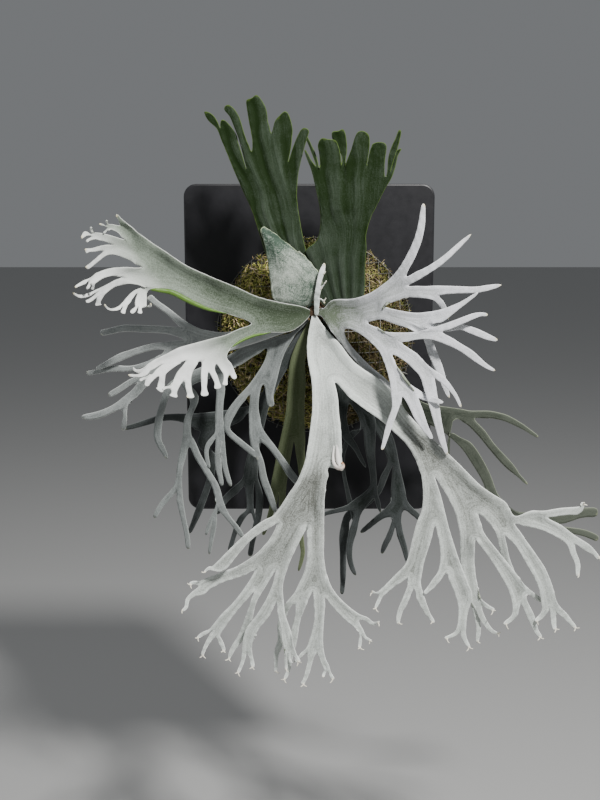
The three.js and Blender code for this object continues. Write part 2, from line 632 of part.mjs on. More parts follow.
const LEFT_LOWER = forked(
  [edges(-80, 37, -79, 24, 1), edges(-95, 30, -91, 14, 3), edges(-109, 26, -95, 4, 5)],
  [[-124, -1.5], [-107, -4]],
  forked([edges(-126, 21.5, -128, -2, 7), edges(-138, 18.5, -129, -4, 8)], [[-142, -0.5]],
    forked([edges(-150, 15, -148, -2, 9), edges(-158, 10.8, -152, -5, 10)], [[-170.5, -5]],
      forked([edges(-172, 4, -177, -8.5, 12), edges(-182, -1.5, -183, -12.5, 15), edges(-191, -8.5, -190, -18, 18)],
        [[-196.5, -15]],
        [[-200, -11.5, 3.5, 21], [-203, -8.5, 2.5, 24]],
        [[-201, -17.5, 4, 18], [-208, -16.5, 2, 20]]),
      forked([edges(-176.5, -10.5, -163, -13, 12), edges(-181, -15.5, -166.5, -19, 14)], [[-174, -18]],
        forked([[-185, -22, 8, 17]], [[-190, -23]],
          [[-195, -22.5, 3, 20]], [[-188, -29, 4, 18]]),
        [[-171, -27, 8, 15], [-172, -32.5, 8.5, 17], [-174, -35, 7, 18]])),
    forked([edges(-149.5, -10, -134, -12, 9), edges(-156, -20.5, -136.5, -22, 10)], [[-145, -24]],
      forked([edges(-160, -29, -151, -32, 13)], [[-161, -33]],
        [[-166, -31.5, 3, 16], [-169, -33.5, 2, 18]],
        [[-156.5, -38.5, 7, 14], [-157.5, -42, 8, 16]]),
      [[-139.5, -32, 7, 12], [-138, -39, 7, 13], [-137.5, -43.5, 7.5, 15]])),
  forked([edges(-124.6, -11, -109, -10, 8)], [[-116.5, -13.5]],
    [[-121.5, -24, 7, 11], [-121.5, -34, 6.5, 13], [-121, -40.5, 7.5, 15]],
    [[-109.5, -18, 6.5, 12], [-106.5, -26, 6, 14], [-106, -32, 7, 16]]),
  forked([edges(-102, -11, -91.5, -1.5, 9), edges(-98.8, -16.5, -88, -7.5, 12)], [[-93, -17.5]],
    [[-97, -23.5, 4.6, 15], [-97.5, -28, 5, 17]],
    [[-88.5, -15, 6, 15], [-86, -20.5, 4.5, 17]]));

const FROND_LEFT = forked(
  [edges(1, 58, 0, 51), edges(-10, 62.5, -10, 41), edges(-24, 65, -24, 33.5), edges(-42, 68.5, -42, 33),
    edges(-62, 74.5, -63, 30.5)],
  [[-66, 43]],
  LEFT_UPPER, LEFT_LOWER);

const FROND_LEFT_BACK = forked(
  [edges(-1, 56, 0, 51), edges(-20, 49, -20, 36), edges(-45, 42, -45, 26), edges(-75, 36, -75, 16),
    edges(-105, 33, -105, 8), edges(-128, 38, -130, 4)],
  [[-147.5, 38.5], [-144.5, 24.5]],
  [edges(-145, 48, -150, 40), edges(-160, 60, -161, 51.5), edges(-172, 68.5, -172, 60), [-181, 71.5, 8], [-183, 74, 4]],
  [edges(-160, 39.5, -160, 30), edges(-190, 41, -190, 32.5), edges(-215, 41, -215, 33), edges(-232, 37, -230, 30),
    [-239, 32, 5]],
  forked([edges(-160, 22, -158, 4)], [[-166.5, 11.5]],
    [edges(-180, 20, -178, 12.5), edges(-200, 14.5, -197, 7.5), edges(-222, 6.5, -218, -1), edges(-240, -4, -236, -8.5),
      [-245, -9.5, 3]],
    forked([edges(-172, 6, -166, -2)], [[-186, -4]],
      [edges(-203, -5.5, -203, -12, -6), edges(-228, -5.8, -228, -13), edges(-248, -10.5, -247, -16), [-256, -14.5, 4]],
      forked([edges(-186, -12, -180, -20, -4)], [[-198, -25.5]],
        [edges(-208, -22, -206, -28.5, -7), edges(-222, -31, -219, -37), [-231, -40, 5]],
        forked([edges(-205, -34, -198, -41, -6), edges(-217, -44, -209, -51, -6)], [[-218, -57.5]],
          [edges(-230, -53, -228, -61), edges(-248, -60, -246, -68.5), [-262, -66, 5]],
          [edges(-216.5, -67, -211.5, -66), [-216, -80, 5]])))));

const FROND_LEFT_HANGING = forked(
  [edges(-1, 54, 3, 51), edges(-8, 40, -5, 43), edges(-30, 30, -18, 27), edges(-42, 26, -27, 12)],
  [[-49, 14]],
  forked([edges(-66, 20, -62, 6), edges(-84, 12, -82, -6), edges(-100, 2, -97, -12)],
    [[-112, -16]],
    forked([edges(-126, -8, -118, -22), edges(-140, -14, -134, -28)], [[-150, -26]],
      [edges(-163, -27, -158, -34), edges(-174, -52, -165, -50), edges(-180, -75, -171, -75), edges(-180.5, -92, -172, -92),
        edges(-174, -106, -168, -102), [-166.5, -114, 3.5]],
      forked([edges(-138, -48, -128, -44), edges(-145, -68, -136, -66), edges(-148, -92, -137, -88),
        edges(-151, -105, -133.5, -94)], [[-140, -101.5]],
        forked([edges(-155, -128, -148, -128), edges(-158, -146, -149, -145)], [[-156, -156]],
          [[-166, -162, 7], [-175, -173, 6], [-181.5, -185, 4.5]],
          [[-151.5, -168, 7.5], [-147.5, -190, 6], [-144, -209, 6], [-143, -223, 4.5]]),
        forked([[-131, -110, 8], [-120, -130, 7.5], [-110, -148, 8], [-105, -168, 9]], [[-107, -178]],
          [[-97, -184, 6.5], [-87, -197, 6], [-79, -209, 4.5]],
          forked([[-112, -185, 7]], [[-114, -190]],
            [[-118, -196, 5], [-121.5, -206, 3]],
            [[-112.5, -198, 6], [-115.5, -214, 5], [-118, -229, 3]])))),
    forked([edges(-108, -32, -97.5, -30), edges(-109, -60, -100, -60), edges(-110, -84, -99, -82)],
      [[-109, -92], [-101.5, -95]],
      [[-115, -95, 6], [-120, -107, 5], [-117.5, -124, 4]],
      [[-106, -108, 8], [-106, -125, 7.5], [-102.5, -146, 4]],
      [[-100.5, -112, 7], [-97.5, -130, 6], [-92.5, -146, 4]])),
  forked([edges(-51, 2, -33, -4), edges(-60, -14, -37.5, -22)], [[-53, -28]],
    [[-46, -38, 9.5], [-45.5, -47, 8.5], [-43.5, -53, 5]],
    forked([edges(-70, -28, -57, -36)], [[-69, -40.5]],
      [edges(-87, -47, -80, -53), edges(-97, -62, -87, -65), edges(-99.5, -74, -92, -76), edges(-97, -85, -90, -83),
        edges(-86, -96, -81, -91), edges(-73, -107, -69, -101), [-60, -113, 5]],
      forked([edges(-70, -58, -59, -55), edges(-70, -84, -54, -80)], [[-56.5, -96]],
        [edges(-68.5, -98, -59, -100), edges(-61, -118, -53.5, -118), edges(-57.5, -140, -49, -139), [-46, -160, 8],
          [-40.5, -177, 5]],
        [edges(-49, -102, -43, -96), edges(-34.5, -122, -28.5, -116), [-20, -136, 9], [-8, -150, 5]]))));

const FROND_LEFT_LOW = forked(
  [edges(0, 53, 4, 50), edges(-24, 16, -14, 10), edges(-46, -20, -34, -24), edges(-60, -48, -46, -52)],
  [[-68, -58]],
  forked([edges(-86, -56, -82, -72), edges(-110, -60, -106, -82)], [[-127, -85]],
    forked([edges(-135, -62, -136, -78), edges(-152, -62, -152, -71)], [],
      [[-170, -67, 7.5], [-190, -72.5, 7], [-205, -77, 6], [-214, -79, 4]]),
    [[-124, -98, 12], [-113, -112, 9, -3], [-115, -135, 8], [-123, -160, 8], [-132, -183, 8], [-141, -204, 4]]),
  forked([edges(-66, -84, -54, -84), edges(-74, -118, -60, -116), edges(-78, -138, -60, -138)],
    [[-76, -149], [-64, -143]],
    [[-90, -156, 9], [-100, -166, 8], [-108, -180, 6]],
    forked([[-70, -160, 9], [-69.5, -176, 9]], [[-69, -181]],
      [[-79, -186, 7], [-86, -200, 6.5], [-94, -226, 4.5]],
      [[-64, -188, 4], [-60, -198, 3]]),
    [[-58.5, -160, 8.5], [-60, -184, 8], [-66, -210, 7], [-70, -232, 5]]));

const FROND_OLIVE = forked(
  [edges(3, 52, 8, 52), edges(-13, 24, -1, 24), edges(-22, 0, -5, 0), edges(-25, -25, -4.5, -25),
    edges(-27.5, -60, -6, -60), edges(-33, -88, -5, -88)],
  [[-18, -95]],
  forked([edges(-39, -115, -22, -115), edges(-45, -148, -27, -148)], [[-36, -156]],
    [[-42, -168, 8], [-47, -186, 6], [-54, -206, 3.5]],
    [[-32, -168, 8], [-30, -190, 7], [-27, -214, 4]]),
  [[-10, -115, 9.5], [-8, -140, 8], [-9, -170, 7], [-10, -205, 6], [-8, -232, 5], [-12, -249, 3]]);

// ---------------------------------------------------------------- right fronds

const RIGHT_UPPER = forked(
  [edges(92, 95, 80, 47.5), edges(102, 107, 88, 45.5)],
  [[109.5, 97], [112, 86], [86, 62.5]],
  [edges(110, 121, 117, 113), edges(118, 139, 126, 135), edges(122.5, 157, 130, 157), edges(124.5, 170, 130, 168),
    [127.8, 177, 3]],
  [edges(130, 106, 130, 96.5), edges(150, 119, 150, 110), edges(167, 133.5, 168.5, 127.5), [180, 142, 2.5]],
  forked([edges(128, 85.5, 110, 72.5), edges(145, 86, 139, 70.5)], [[148.5, 75]],
    [edges(165, 85.5, 165, 77), edges(190, 85, 190, 78), edges(204, 87, 203, 80.5), [216, 86.5, 2.5]],
    [[149, 67, 7, -4], [154.5, 58, 5.5, -10], [158, 49, 3, -14]]),
  forked([edges(106, 57, 104, 40), edges(122, 55, 121, 35)], [[140, 42], [133, 37]],
    [edges(150, 59, 154, 46), edges(165, 64.5, 167, 56.5), edges(178, 71, 180, 67), [190, 77, 2.5]],
    [[153, 38, 9, -8], [171, 39, 7, -9], [192, 32.5, 8], [205, 27, 6.5], [214, 24, 3]],
    [[135, 25, 9, -14], [140, 12, 10, -16], [146, -2, 10], [152, -17, 8], [156.5, -31, 6], [161, -42, 2.5]]));

const RIGHT_LOWER = forked(
  [edges(84, 34, 79, 12)],
  [[106, 20], [96, 7]],
  forked([edges(118, 33, 118, 23.5), edges(135, 36.5, 135, 25)], [[152, 33]],
    [edges(165, 46.5, 167, 39), edges(182, 53, 184, 46.5), edges(193, 55.5, 195, 51), [202, 53, 3]],
    [edges(170, 22, 168, 13.5), edges(190, 9, 189, -0.5), edges(203, -3, 202, -8.5), [212, -11, 2.5]]),
  forked([edges(120, 10.5, 110, -1), edges(137, -6, 126, -17)], [[144.5, -21]],
    [[154, -23, 7.5], [163, -33, 5.5], [170, -43, 4], [174.5, -53, 2.5]],
    [edges(147, -37, 133.5, -38), edges(150, -52, 138, -52), edges(154, -75, 145, -75), edges(159, -97, 152, -97),
      [160, -109, 3]]),
  forked([edges(100, -6, 88, -8), edges(109, -21, 92, -22)], [[126, -44], [108, -43]],
    [[133, -42.5, 8, -4], [145, -46.5, 6, 4], [153.5, -48.5, 2.5, 6]],
    [edges(130.5, -56, 116, -56), edges(136, -72, 123.5, -71), [137.5, -84, 6.5], [142, -91, 3]],
    [edges(103, -57, 95, -57), edges(98.5, -70, 90.5, -70), edges(93, -86, 86.5, -86), [86.5, -98, 4.4], [84.5, -104, 2.5]]));

const FROND_RIGHT = forked(
  [edges(11, 60, 8, 53), edges(17, 61, 12.5, 51.5), edges(25, 69, 19, 43), edges(42, 70.5, 26, 33)],
  [[40.5, 36.5]],
  forked([edges(58, 73.5, 51, 34.5), edges(71, 79, 62, 28)], [[66, 43.5]],
    RIGHT_UPPER, RIGHT_LOWER),
  [[40, 21, 9, -16], [52, 6, 8.5, -26], [66, -8, 8, -30], [80, -19, 7, -32], [93, -31, 6], [103, -45, 3]]);

// ---------------------------------------------------------------- centre frond

const CENTRE_LOW_LEFT = forked(
  [edges(-34, -175, -4, -190), edges(-40, -181, -6, -205)],
  [[-38.5, -195]],
  forked([edges(-60, -194, -55, -203.5, 3), edges(-80, -211, -72, -217, 6), edges(-100, -231, -90, -239, 8),
    edges(-113, -244, -103, -252, 9)], [],
    [[-118, -248.5, 4.5, 11], [-124, -252.5, 2.5, 13]]),
  forked([edges(-46, -211, -14, -221), edges(-60, -228, -22, -238)], [[-65, -252], [-40.5, -252.5]],
    forked([edges(-84, -245, -82, -259, -2), edges(-104, -253, -103, -266, -3), edges(-124, -261, -119, -275, -2),
      edges(-131, -264, -126, -281, 0)], [[-132, -270.5]],
      [[-137, -266, 4.5, 2], [-142, -267.5, 3, 4]],
      forked([[-137, -280, 7, 1]], [],
        [[-145, -288, 5, 4], [-146.5, -296, 4, 8], [-151, -300.5, 3, 10]])),
    forked([edges(-72, -265, -50, -268)], [[-66, -278]],
      forked([edges(-90, -290, -80, -294), edges(-107, -308, -97, -316), edges(-118, -322, -106, -330)],
        [[-117.5, -327.5], [-112.5, -335]],
        [[-124, -328.5, 4.5, 2], [-133, -334, 3, 4]],
        [[-120.5, -339, 5.5, 1], [-126, -350, 4, 3], [-128, -356, 3, 3]],
        [[-107, -338, 5.5], [-102, -350, 3.5, 2]]),
      [edges(-70, -290, -62.5, -290), edges(-76, -308, -68, -312, -3), [-77.5, -325, 9, -7], [-84, -338, 8, -8],
        [-92, -350, 6, -7], [-96, -360, 3, -6]]),
    forked([edges(-43.5, -268, -31, -268), edges(-50, -284, -31, -282)], [[-39.5, -292.5]],
      forked([edges(-62, -305, -50, -311), edges(-76, -325, -61, -325), edges(-80, -342, -68, -342)], [[-75, -355]],
        [[-79, -361, 5], [-83, -373, 4, 3], [-85.5, -378, 3, 4]],
        [[-69.5, -360, 4.5], [-67.5, -371, 4, 3]]),
      forked([edges(-37, -308, -28, -308, 5), edges(-34, -325, -22.5, -325, 7), edges(-31, -343, -18.5, -343, 8)],
        [[-26, -358], [-21.5, -356]],
        [[-28, -366, 3.5], [-27.5, -374, 2.5, 10]],
        [[-23.5, -362, 3, 9], [-21, -366.5, 2.5, 11]],
        [[-16, -358, 4.5, 9], [-11.5, -364.5, 3, 12]]))));

const CENTRE_LOW_RIGHT = forked(
  [edges(17.5, -215, -2.5, -215), edges(17.5, -235, -3, -238), edges(21, -257, -8, -258), edges(27, -272, -14, -271)],
  [[4, -279], [19.5, -286]],
  forked([edges(-18, -279, -1, -287), edges(-25, -288, -3, -293)], [[-17, -294]],
    [[-27, -297.5, 7.5, -3], [-33, -315, 9, -8], [-34, -340, 9, -8], [-39, -354, 7, -6], [-40, -368, 4.5, -5], [-40.5, -377, 3, -5]],
    [edges(-17.5, -310, -9.5, -310, -2), edges(-22, -328, -13, -328), [-20, -345, 8], [-23.5, -362, 6], [-24.5, -374, 5],
      [-29, -386, 3.5, 2]]),
  forked([edges(6, -300, 18.5, -300), edges(5.5, -316, 17.5, -316), edges(1, -335, 16.5, -335), edges(-4, -348, 17.5, -350)],
    [[-3, -355.5], [9, -355]],
    [[-9, -356, 4, 1], [-14, -362, 3, 3], [-18, -365.5, 2, 5]],
    [[1, -365, 6.5], [-2, -378, 5.5, 2], [-5.5, -388, 4.5, 3], [-8.5, -393, 3.5, 4]],
    forked([[17, -364, 7.5], [21, -372, 7]], [[22, -377.5]],
      [[18.5, -379, 3.5], [16.5, -384, 2.6, 2]],
      [[25, -379.5, 3.6], [29, -386.5, 3.4, 3]])),
  forked([edges(38, -287, 29, -298), edges(51, -299, 43, -313), edges(62, -306.5, 53, -321)], [[59.5, -313.5]],
    [[69, -312, 5], [76, -317, 5], [83, -315, 2.5, 3]],
    forked([[62, -326, 6]], [[62.5, -332]],
      [[61, -339, 4], [60, -347, 3, 3]],
      [[67.5, -334.5, 3.6], [74, -338, 2.8, 3]])));

const CENTRE_STRAIGHT = forked(
  [edges(32, -38, 3, -36), edges(34, -58, 3, -56), edges(36.5, -80, 1, -76), edges(37.5, -98, -1.5, -96),
    edges(38, -115, -5, -117)],
  [[24, -126]],
  [[33, -122, 12, 5], [35, -127, 9, 9], [38, -127, 5, 11]],
  forked([edges(20.5, -142, -14.5, -142), edges(18, -162, -26, -160)], [[-3.5, -202]],
    CENTRE_LOW_LEFT, CENTRE_LOW_RIGHT));

const LONG_INNER = forked(
  [edges(152.5, -155, 133, -155), edges(158, -174, 132.5, -174), edges(163, -194, 126, -194)],
  [[148, -197]],
  forked([edges(141.5, -222, 120, -220), edges(136, -241, 115, -240)], [[116, -262]],
    forked([edges(103, -270, 95, -264), edges(90, -281, 83, -276)], [[82, -281]],
      [[77.5, -278.5, 3], [74, -276.5, 2, 2]],
      [[83, -288, 4.5], [79, -297, 3, 3]]),
    forked([edges(132.5, -266, 116.5, -270)], [[124, -274]],
      [[114, -289, 8], [108, -303, 6.5], [106, -316, 3.5, 3]],
      [[134, -289, 9], [140, -302, 6.5], [144.5, -309, 4.8], [148.5, -315, 3, 3]])),
  forked([edges(169.5, -215, 153, -215), edges(177, -237, 155, -238), edges(182, -250, 152.5, -252)],
    [[162, -255]],
    [[150, -264, 8.5], [142, -274, 6], [137.5, -279, 4, 2]],
    forked([edges(190, -270, 169, -270), edges(194, -284, 175, -286), edges(189.5, -303, 178, -303)], [],
      forked([edges(187.5, -320, 176.5, -320)], [[180.5, -329]],
        [[173, -331, 5], [163.5, -335, 3.4, 3]],
        [[185.5, -335, 6], [191.5, -345.5, 3, 3]]))));

const LONG_OUTER = forked(
  [edges(200, -147, 160, -158), edges(215, -158, 171, -180)],
  [[199, -183]],
  forked([edges(205, -203, 177, -203)], [[196, -214]],
    forked([edges(195.5, -238, 178.5, -237, -8), edges(198, -260, 182, -259, -10), edges(202.5, -283, 189, -283, -9)],
      [[206, -296], [199, -300]],
      [[213, -296, 4.6, -6], [220, -299.5, 3.2, -3]],
      [[205.5, -308, 7], [212, -319, 6], [219, -326.5, 4.4], [225, -329, 2.6]],
      [[200.5, -312, 6, -13], [202.5, -325, 5.4], [201, -338, 3.4]]),
    forked([edges(222, -226, 206, -226), edges(240, -248, 221, -248), edges(255, -268, 235, -272)], [[260, -280.5]],
      [[266, -281.5, 6, -6], [274, -287, 5.4, -12], [281, -292, 3, -14]],
      forked([edges(259, -287, 241, -288)], [[252, -293]],
        [[262, -303, 8.5], [268, -317, 7.5], [272, -327, 5.6], [277, -333.5, 3.4, 3]],
        [[246, -302, 7.5], [241.5, -311, 6], [233.5, -317, 3.6, 3]]))),
  forked([edges(228, -166, 205, -186.5), edges(241, -184, 219, -203)], [[242, -194], [231, -209]],
    forked([edges(262, -178, 258, -197.5), edges(275, -178, 272, -201)], [[281, -187]],
      [edges(290, -175.5, 289, -185), edges(305, -174, 304, -183), edges(318, -172.5, 318, -181.5), [320.5, -169, 4]],
      forked([edges(300, -198, 298, -214), edges(313, -208, 305, -221)], [[314, -219]],
        [[326, -221.5, 9], [336, -229, 6], [342, -236, 3.4, 3]],
        [[312.5, -231, 7], [317.5, -243, 6.2], [318, -257, 3.6, 3]])),
    forked([edges(255, -213, 243, -220), edges(268, -231, 257, -243), edges(281, -251, 268, -262),
      edges(290, -274, 273.5, -277), edges(296, -292, 277, -295)], [[287, -301], [295.5, -305]],
      [[280.5, -303, 7.5], [276, -309, 6], [270.5, -313.5, 3.4, 3]],
      [[291.5, -312, 6.4], [293, -323.5, 3.6, 3]],
      [[304, -306, 7], [311, -314, 5.4], [317.5, -321, 3.4, 3]]),
    [edges(224, -220, 233, -219, -4), edges(226.5, -234, 236, -232, -9), [236, -246, 9, -12], [244, -262, 5, -14]]));

const CENTRE_LONG = forked(
  [edges(64, -11, 43, -40), edges(80, -21.5, 60, -54), edges(98, -37.5, 81, -69), edges(112, -59, 98, -84),
    edges(130, -79, 113, -99), edges(150, -98, 124, -118), edges(177, -124, 131, -137)],
  [[147, -138]],
  LONG_INNER, LONG_OUTER);

const FROND_CENTRE = forked(
  [edges(3, 53, 7, 53), edges(0.5, 42, 14, 43), edges(-2, 29, 25, 30), edges(-3, 14, 36, 18), edges(-2, 0, 44, 7),
    edges(2, -22, 52, -2)],
  [[30, -25]],
  CENTRE_STRAIGHT, CENTRE_LONG);

// ---------------------------------------------------------------- darker fronds behind on the right

const FROND_RIGHT_BACK = forked(
  [edges(9, 53.5, 12.5, 50.5), edges(40, 18, 30, 10), edges(76, -14, 66, -28), edges(110, -36, 102, -52),
    edges(135, -50, 128, -70), edges(158, -54, 150, -80)],
  [[166, -71], [163, -86]],
  forked([edges(178, -57, 178, -72), edges(186, -58.5, 183, -75)], [[191, -68]],
    [edges(210, -59, 210, -67.5), edges(232, -65, 229, -72), edges(248, -74.5, 245, -79.5), [264, -88.5, 3]],
    [edges(201, -79, 195, -87), edges(218, -101, 210, -105), edges(236, -120, 228, -125), [246, -137, 4], [254, -145, 2.5]]),
  forked([edges(186, -95, 175, -101), edges(203, -118, 190, -122), edges(213, -138, 202, -142), edges(222, -160, 209, -158),
    edges(240, -178, 228, -176, -8)], [[252, -186]],
    [[272, -185, 10], [295, -188, 12], [318, -181, 12], [330, -180, 11.5], [338, -180, 8]],
    [[270, -196, 8], [300, -201, 7], [320, -204, 8], [334, -209, 8], [340, -212, 5]]),
  [[162, -92, 5], [162, -108, 3]]);

const FROND_RIGHT_LOW = forked(
  [edges(8, 51, 12, 50), edges(28, 12, 18, 8), edges(40, -22, 28, -24), edges(58, -46, 32, -44)],
  [[46, -50]],
  forked([edges(76, -66, 56, -64), edges(77, -84, 60, -80)], [[62, -80]],
    forked([edges(76.5, -110, 65.5, -108), edges(78.5, -136, 71, -138), edges(80, -156, 69, -151)], [[75, -163]],
      [[80, -167, 6], [83, -178, 2.5]],
      forked([edges(67, -173, 55, -163), edges(60, -184, 46, -170)], [[52, -180]],
        [[52, -200, 9], [47.5, -222, 7.5], [48.5, -240, 6.5], [54, -255, 4]],
        [[38, -176.5, 6], [20, -181, 5], [5, -186, 4]])),
    [[53, -84, 7, -3], [45, -93, 6], [40, -106, 5], [39.5, -128, 4], [44, -152, 5], [48, -170, 6], [54, -192, 4]]),
  forked([edges(43, -66, 35.5, -66, 6), edges(48, -87, 38, -90)], [],
    [[52, -100, 7], [59, -113, 5], [65, -124, 2.5]]));

const FROND_SLATE = forked(
  [edges(4, 51, 9, 51), edges(24, 10, 15, 6), edges(50, -20, 38, -22), edges(80, -60, 64, -66), edges(98, -92, 84, -96),
    edges(104, -118, 91, -120)],
  [[97, -124]],
  forked([edges(110, -144, 96, -144), edges(115, -166, 95, -168)], [[111, -177.5], [95, -186]],
    [[121, -179, 7.5], [131, -189, 6.5], [137, -202, 3]],
    forked([edges(108, -187, 97, -190)], [[101, -198.5]],
      [[108, -210, 8], [112.5, -224, 7], [115.5, -239, 3.5]],
      [[94.5, -208, 7], [89, -220, 6.5], [86, -229, 3.5]]),
    [[84, -185, 8], [73, -194, 6.5], [62, -203, 4]]),
  forked([[88, -136, 8], [80, -156, 7], [64, -172, 7, -4], [46, -184, 10, -6]], [],
    [[41, -206, 11], [40, -230, 8], [40, -258, 7], [39, -279, 4]]));

// ---------------------------------------------------------------- the fronds as a family

const FRONDS = {
  bud_frond: { tree: BUD, start: 108, rise: 12, reach: 50, cup: 0.2, color: 0xc6cdca },
  frond_left: { tree: FROND_LEFT, start: 104, rise: 62, reach: 200, cup: -0.05, color: 0xc9d2c8 },
  frond_right: { tree: FROND_RIGHT, start: 103.5, rise: 76, reach: 190, cup: 0.03, color: 0xdcdedd },
  frond_centre: { tree: FROND_CENTRE, start: 104, rise: 78, reach: 330, cup: 0.03, color: 0xd9dcd9 },
  shield_young: { tree: SHIELD_YOUNG, start: 98.5, rise: 19, reach: 90, cup: 0.06, color: 0xb4bdb0 },
  frond_left_back: { tree: FROND_LEFT_BACK, start: 100.5, rise: 14, reach: 180, fall: 10, cup: 0.02, color: 0xa9abaa },
  frond_left_hanging: { tree: FROND_LEFT_HANGING, start: 97, rise: 14, reach: 200, fall: 10, cup: 0.02, color: 0xb4bab6 },
  frond_olive: { tree: FROND_OLIVE, start: 94.5, rise: 4, reach: 190, fall: 24, cup: 0.02, color: 0x8d9a78 },
  shield_left: { tree: SHIELD_LEFT, start: 92.5, rise: 32, reach: 250, cup: 0.03, color: 0x6f8069 },
  shield_right: { tree: SHIELD_RIGHT, start: 93, rise: 36, reach: 230, cup: 0.05, color: 0x6b7f68 },
  frond_right_back: { tree: FROND_RIGHT_BACK, start: 98, rise: 20, reach: 190, fall: 16, cup: 0.02, color: 0x9aa39c },
  frond_left_low: { tree: FROND_LEFT_LOW, start: 91, rise: 2, reach: 200, fall: 34, cup: 0.02, color: 0x7d8f7c },
  frond_right_low: { tree: FROND_RIGHT_LOW, start: 91.5, rise: 14, reach: 190, fall: 22, cup: 0.02, color: 0x8b918e },
  frond_slate: { tree: FROND_SLATE, start: 88, rise: 8, reach: 200, fall: 26, cup: 0.02, color: 0x72807a },
};

const wholeRhizome = solidOf(rhizomeGeometry());
let rhizome = wholeRhizome;
for (const [name, { tree, color, ...shape }] of Object.entries(FRONDS)) {
  const blade = new Blade(shape).growFrom(tree);
  addPiece(name, blade.geometry(), color, 0.8);
  const slot = solidOf(blade.geometry(BLADE + 2 * GAP));
  const root = slot.intersect(wholeRhizome);
  const around = [[GAP, 0], [-GAP, 0], [0, GAP], [0, -GAP]].map(([x, z]) => root.translate([x, 0, z]));
  rhizome = rhizome.subtract(wasm.Manifold.hull(around));
}

// ---------------------------------------------------------------- assembly

addPiece('board', geometryOf(boardSolid()), 0x1b1b1e, 0.45);
addPiece('keyhole_plate', geometryOf(plateSolid()), 0xb9bcc0, 0.35, 1);
for (const [i, side] of [[1, 1], [2, -1]]) {
  const screw = moved(screwShape(SCREW.head, SCREW.shank, SCREW.length), 0, 0, PLATE.z + side * SCREW.spacing / 2);
  addPiece(`plate_screw_${i}`, screw, 0xc9ccd0, 0.3, 1);
}
addPiece('moss_mound', geometryOf(mossSolid()), 0x6b6336, 1);
addPiece('rhizome', geometryOf(rhizome), 0x5a3a24, 0.9);
addPiece('wire_netting', geometryOf(nettingSolid()), 0x9a9c9a, 0.45, 1);
for (let i = 0; i < STAPLE.count; i++) {
  addPiece(`net_staple_${i + 1}`, geometryOf(stapleSolid(i)), 0xa7a9ab, 0.4, 1);
}

export default group;
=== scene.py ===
# %% [markdown]
# # A mounted staghorn fern
# The plant grows from a cushion of moss on a black board. Silver-felted fronds arch forward and fork like
# antlers, tall green shield fronds stand up behind the crown, and thinner grey fronds hang behind. The packed
# solids already hold the outline of every frond, so the work here is to turn each plain solid into a leaf: a
# smooth sheet with a shallow gutter, a soft rim and felt. The moss, the netting and the brown scales are too
# fine for the solids, so they are made here from many small pieces.

# %% Load the frame
import bmesh
import bpy
import heapq
import math
import random

import numpy as np
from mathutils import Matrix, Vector, kdtree, noise
from mathutils.bvhtree import BVHTree


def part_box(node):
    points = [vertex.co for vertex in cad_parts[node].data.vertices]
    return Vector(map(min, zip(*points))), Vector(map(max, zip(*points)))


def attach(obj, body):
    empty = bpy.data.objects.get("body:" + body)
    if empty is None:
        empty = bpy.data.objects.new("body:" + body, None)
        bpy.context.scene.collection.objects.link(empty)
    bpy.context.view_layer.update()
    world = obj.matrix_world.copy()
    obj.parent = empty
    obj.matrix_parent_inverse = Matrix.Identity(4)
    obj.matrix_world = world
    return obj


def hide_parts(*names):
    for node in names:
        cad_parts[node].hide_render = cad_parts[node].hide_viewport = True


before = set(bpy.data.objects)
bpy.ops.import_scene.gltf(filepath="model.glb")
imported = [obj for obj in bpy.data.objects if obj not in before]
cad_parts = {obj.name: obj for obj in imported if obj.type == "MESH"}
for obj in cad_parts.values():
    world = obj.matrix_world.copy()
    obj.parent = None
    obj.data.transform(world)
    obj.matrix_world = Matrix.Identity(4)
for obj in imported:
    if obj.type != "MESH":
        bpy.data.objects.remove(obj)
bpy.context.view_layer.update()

# %% [markdown]
# ## Camera
# The eye stands 1.5 m in front of the board, a little above its middle, and looks down by ten degrees. The
# lens is given for a picture that is taller than wide, where the sensor's 36 mm are its height.

# %% Camera
EYE = Vector((-0.011, -1.4955, 0.2001))
LOOK_DOWN = 10


def linked(name, data):
    """A new object in the scene."""
    made = bpy.data.objects.new(name, data)
    bpy.context.scene.collection.objects.link(made)
    return made


lens = bpy.data.cameras.new("camera")
lens.lens = 55.17
lens.sensor_width = 36
camera = linked("camera", lens)
camera.location = EYE
camera.rotation_euler = (math.radians(90 - LOOK_DOWN), 0, 0)
bpy.context.scene.camera = camera
print("camera", tuple(round(x, 3) for x in camera.location))

# %% [markdown]
# ## Floor and light
# The board hangs above a plain pale floor. One lamp from the upper right models the fronds, a weak one from
# the left opens the shadows, and one from above and behind draws the rims. Felt has no gloss, so its form
# shows only in its shading. The main lamp is a small disk, so that each frond throws a clear shadow on the
# next. The other two and the pale sky are broad and soften the shadows.

# %% Floor and light
def lamp(name, place, aim, size, power, colour):
    data = bpy.data.lights.new(name, "AREA")
    data.shape = "DISK"
    data.size = size
    data.energy = power
    data.color = colour
    made = linked(name, data)
    made.location = place
    made.rotation_euler = (Vector(aim) - Vector(place)).to_track_quat("-Z", "Y").to_euler()


